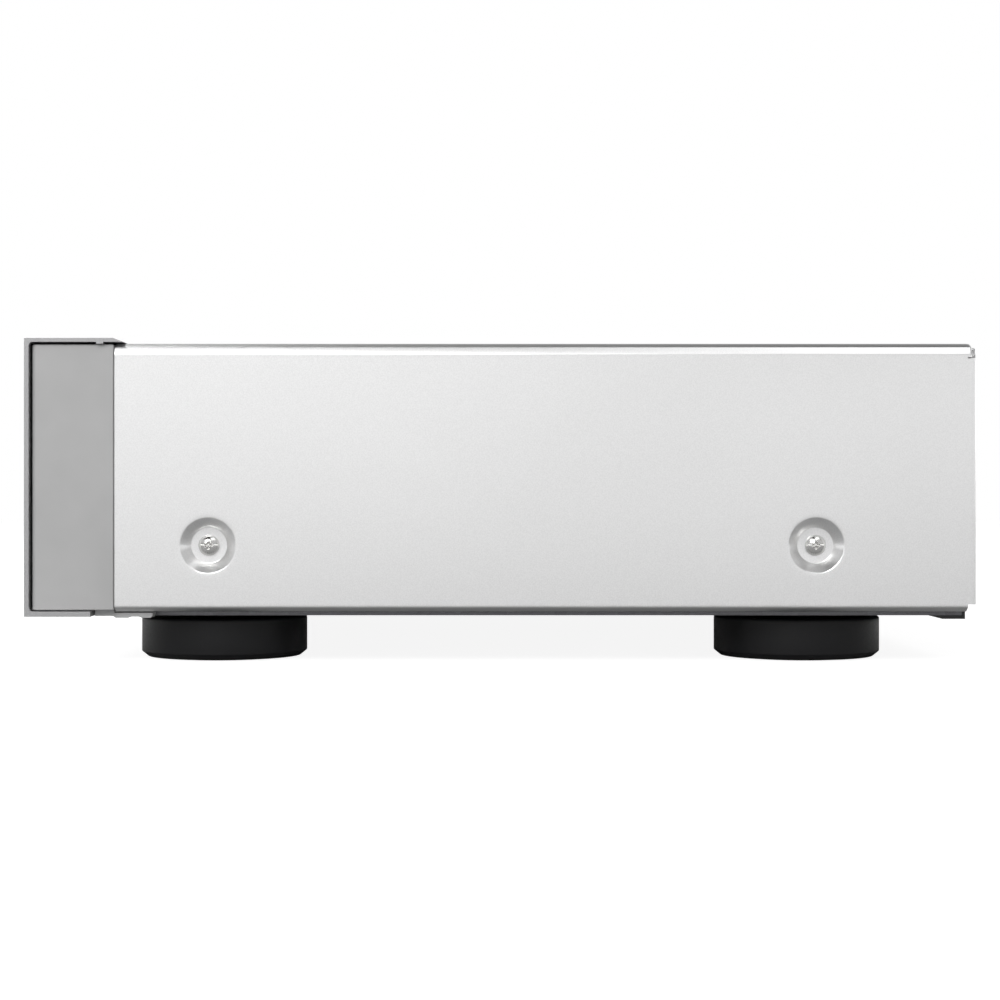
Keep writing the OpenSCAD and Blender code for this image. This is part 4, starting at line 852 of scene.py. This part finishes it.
pill_rows = [(0, 0), (0, 1), (1.2, 1.02), (1.2, 4.25)] + [
    (1.2 + 0.45*(1 - np.cos(a)), 4.25 + 0.45*np.sin(a)) for a in np.linspace(0.3, np.pi/2, 4)]
pill = block_grid(pill_wide, pill_tall, pill_tall/2, pill_rows) @ axes_for(to_front)
stem = turned_grid([(0, 0.5), (stem_r, 0.5), (stem_r, stem_end + 0.2), (stem_r - 0.2, stem_end),
                    (0, stem_end)], 32) @ axes_for(to_front)
pill_place = np.array((pill_x, button_back, pill_z))
fit(make_piece("open_close_cap", [pill_place + pill, pill_place + stem], 40), "open_close_button",
    brushed_silver, "open_close_button", "open_close_button")

sign("play", [arrow(-1.6, 4.2, 1), bar(2.6, 0.45, 2.3), bar(4.3, 0.45, 2.3)])
sign("stop", [bar(0, 1.6, 1.6)])
sign("skip_back", [bar(-2.9, 0.3, 1.7), arrow(-1.2, 2.6, -1), arrow(1.5, 2.6, -1)])
sign("skip_forward", [arrow(-1.5, 2.6, 1), arrow(1.2, 2.6, 1), bar(2.9, 0.3, 1.7)])
sign("open_close", [[(-2, -0.1), (2, -0.1), (0, 1.9)], [(-2, -1.3), (2, -1.3), (2, -0.8), (-2, -0.8)]])
ring_in, ring_out = 1.9, 2.3
ring_angles = np.linspace(np.radians(60), np.radians(-240), 25)
ring_marks = [[(ring_in*np.cos(a), ring_in*np.sin(a)), (ring_out*np.cos(a), ring_out*np.sin(a)),
               (ring_out*np.cos(b), ring_out*np.sin(b)), (ring_in*np.cos(b), ring_in*np.sin(b))]
              for a, b in zip(ring_angles, ring_angles[1:])]
sign("power", ring_marks + [[(-0.2, 0.7), (0.2, 0.7), (0.2, 2.7), (-0.2, 2.7)]])

# ---- Flat cables ----
# Two cables of white film with parallel conductors that show through it. Their ends are pressed
# into moulded connectors on the boards.
def film_cable(name, film, conductor):
    """Film over conductors: bands of a wave across the cable, blended half through."""
    material, tree, shader = new_finish(name, film, 0, 0.3)
    place = tree.nodes.new("ShaderNodeTexCoord")
    lines = tree.nodes.new("ShaderNodeTexWave")
    lines.inputs["Scale"].default_value = 50
    tree.links.new(place.outputs["Object"], lines.inputs["Vector"])
    tree.links.new(spread(tree, lines.outputs["Fac"], film, conductor, (0.5, 0.8)),
                   shader.inputs["Base Color"])
    tree.links.new(spread(tree, grain(tree, 300), 0.24, 0.38), shader.inputs["Roughness"])
    raise_skin(tree, shader, lines.outputs["Fac"], 0.04)
    return material


refinish("ribbon_cables", film_cable("film_cable", (0.80, 0.81, 0.84), (0.55, 0.56, 0.6)))

# ---- Cover ----
# One sheet of steel folded into a shell and sprayed satin silver. Each side has two round
# dimples, pressed in so that the screw heads stay below its face. The lower edges fold in under
# the player, and the back edges fold in over the back panel.
cover_x, cover_top, cover_low, sheet = 215.5, 105.6, 17.3, 1.0
hem_x, fold = 206.5, 0.9
cover_front, hem_back, fold_back, top_back = -126.3, 153.3, 156.0, 154.9
fold_low, fold_high, fold_in, drop_low = 19.8, 100.35, 10, 100.6
dimple_ys, dimple_z, field = (-95.7, 103.7), 39.1, 13.0
dimple_deep = 3.0
dimple_corners = [(10.6, 0), (9.1, 0), (5.925, dimple_deep), (2.0, dimple_deep)]
dimple_bends = [0, 0.75, 0.45, 0]


def dimpled_side(side, y):
    """The sheet's square round a dimple: rings go from the square's edge to the dimple's round
    profile, point = centre + distance x the ray from the centre to that point of the edge."""
    edge = np.linspace(-field, field, 27)
    flat = np.full(26, field)
    rim = np.concatenate([np.stack([edge[:-1], -flat], 1), np.stack([flat, edge[:-1]], 1),
                          np.stack([edge[:0:-1], flat], 1), np.stack([-flat, edge[:0:-1]], 1),
                          [(-field, -field)]])
    reach = np.linalg.norm(rim, axis=1)
    ray = rim/reach[:, None]
    profile = filleted(dimple_corners, dimple_bends, 6)
    share = np.array([0, 0.4, 0.75])[:, None]
    radii = np.concatenate([reach*(1 - share) + profile[0, 0]*share,
                            np.broadcast_to(profile[:, :1], (len(profile), len(reach)))])
    depth = np.concatenate([np.zeros(3), profile[:, 1]])[:, None]
    return np.stack([np.broadcast_to(side*(cover_x - depth), radii.shape), y + radii*ray[:, 0],
                     dimple_z + radii*ray[:, 1]], -1)


def cover_grids():
    """The cover's outside. Its section, from the right hem over the top to the left hem, is
    carried from front to back, less the squares round the dimples; the folds at the back are
    their own short profiles, carried up the sides and along the top."""
    dense_z = dimple_z + np.linspace(-field, field, 27)
    side_z = np.concatenate([[fold_low], dense_z, np.linspace(60, 96, 7), [fold_high, fold_high + 0.4]])
    hem = filleted([(hem_x, cover_low), (hem_x + 6.3, cover_low), (cover_x, 18.75), (cover_x, fold_low)],
                   [0, 2.0, 0.8, 0], 7)[:-1]
    roof = filleted([(cover_x, fold_high + 0.5), (cover_x, 101.8), (214.5, 104.15), (212.3, 105.3),
                     (209.9, cover_top), (209.2, cover_top)], [0, 0.5, 0.6, 1.2, 2, 0], 5)[1:]
    half = np.concatenate([hem, np.stack([np.full(len(side_z), cover_x), side_z], 1), roof,
                           [(209.0, cover_top), (105, cover_top)]])
    section = np.concatenate([half, [(0, cover_top)], half[::-1]*(-1, 1)])
    steps = np.linspace(-field, field, 27)
    ys = np.concatenate([[cover_front], dimple_ys[0] + steps, np.linspace(-70, 80, 9), dimple_ys[1] + steps,
                         np.linspace(120, hem_back, 4)])

    def carried(line, along):
        x, y = np.broadcast_arrays(line[:, None, 0], along[None])
        return np.stack([x, y, np.broadcast_to(line[:, None, 1], x.shape)], -1)

    low, high, last = len(hem) + 1, len(hem) + 1 + len(dense_z), len(section)
    first, second = (np.searchsorted(ys, y - field - 0.01) for y in dimple_ys)
    grids = [carried(section[:low + 1], ys), carried(section[high - 1:last - high + 1], ys),
             carried(section[last - low - 1:], ys)]
    for span in (slice(0, first + 1), slice(first + 26, second + 1), slice(second + 26, None)):
        grids += [carried(section[low:high], ys[span]), carried(section[last - high:last - low], ys[span])]
    fold_line = filleted([(hem_back, cover_x), (fold_back, cover_x), (fold_back, cover_x - fold_in)], fold, 6)
    brow = np.concatenate([[(cover_x, fold_high + 0.4)], roof, [(209.0, cover_top), (105, cover_top)]])
    brow = np.concatenate([brow, [(0, cover_top)], brow[::-1]*(-1, 1)])
    outward = np.gradient(brow, axis=0)[:, ::-1]*(1, -1)
    outward /= np.linalg.norm(outward, axis=1)[:, None]
    t = np.linspace(0, np.pi/2, 7)
    end_y = np.array([hem_back, *(top_back - fold*(1 - np.sin(t))), top_back])
    inset = np.array([0, *(fold*(1 - np.cos(t))), fold])
    end = brow[:, None] - inset[:, None]*outward[:, None]
    end[:, -1, 1] = drop_low
    grids.append(np.stack([end[..., 0], np.broadcast_to(end_y, end.shape[:2]), end[..., 1]], -1))
    for side in (1, -1):
        grids += [dimpled_side(side, y) for y in dimple_ys]
        y, z = np.broadcast_arrays(fold_line[None, :, 0], side_z[:-1, None])
        grids.append(np.stack([np.broadcast_to(side*fold_line[None, :, 1], y.shape), y, z], -1))
    return grids


silver_paint = sprayed_paint("satin_silver_paint", (0.80, 0.80, 0.80), 0.93, 0.30, 0.05)
cover = make_piece("cover_shell", cover_grids(), outside=(0, 0, 1))
wall = cover.modifiers.new("steel_thickness", "SOLIDIFY")
wall.thickness, wall.offset = sheet*mm, -1
fit(cover, "case", silver_paint, "top_cover", "top_cover")

# ---- Side screws ----
# Two nickel-plated pan-head screws hold each side of the cover to the base. Each head sits on
# the floor of a dimple.
dimple_floor_x = cover_x - dimple_deep
for side, word in ((1, "right"), (-1, "left")):
    fit(screws(f"cover_screws_{word}", [(side*dimple_floor_x, y, dimple_z) for y in dimple_ys],
               (side, 0, 0), (3.42, 2.2), (1.5, 8), 96, 30), "case", nickel, "side_screws", "side_screws")
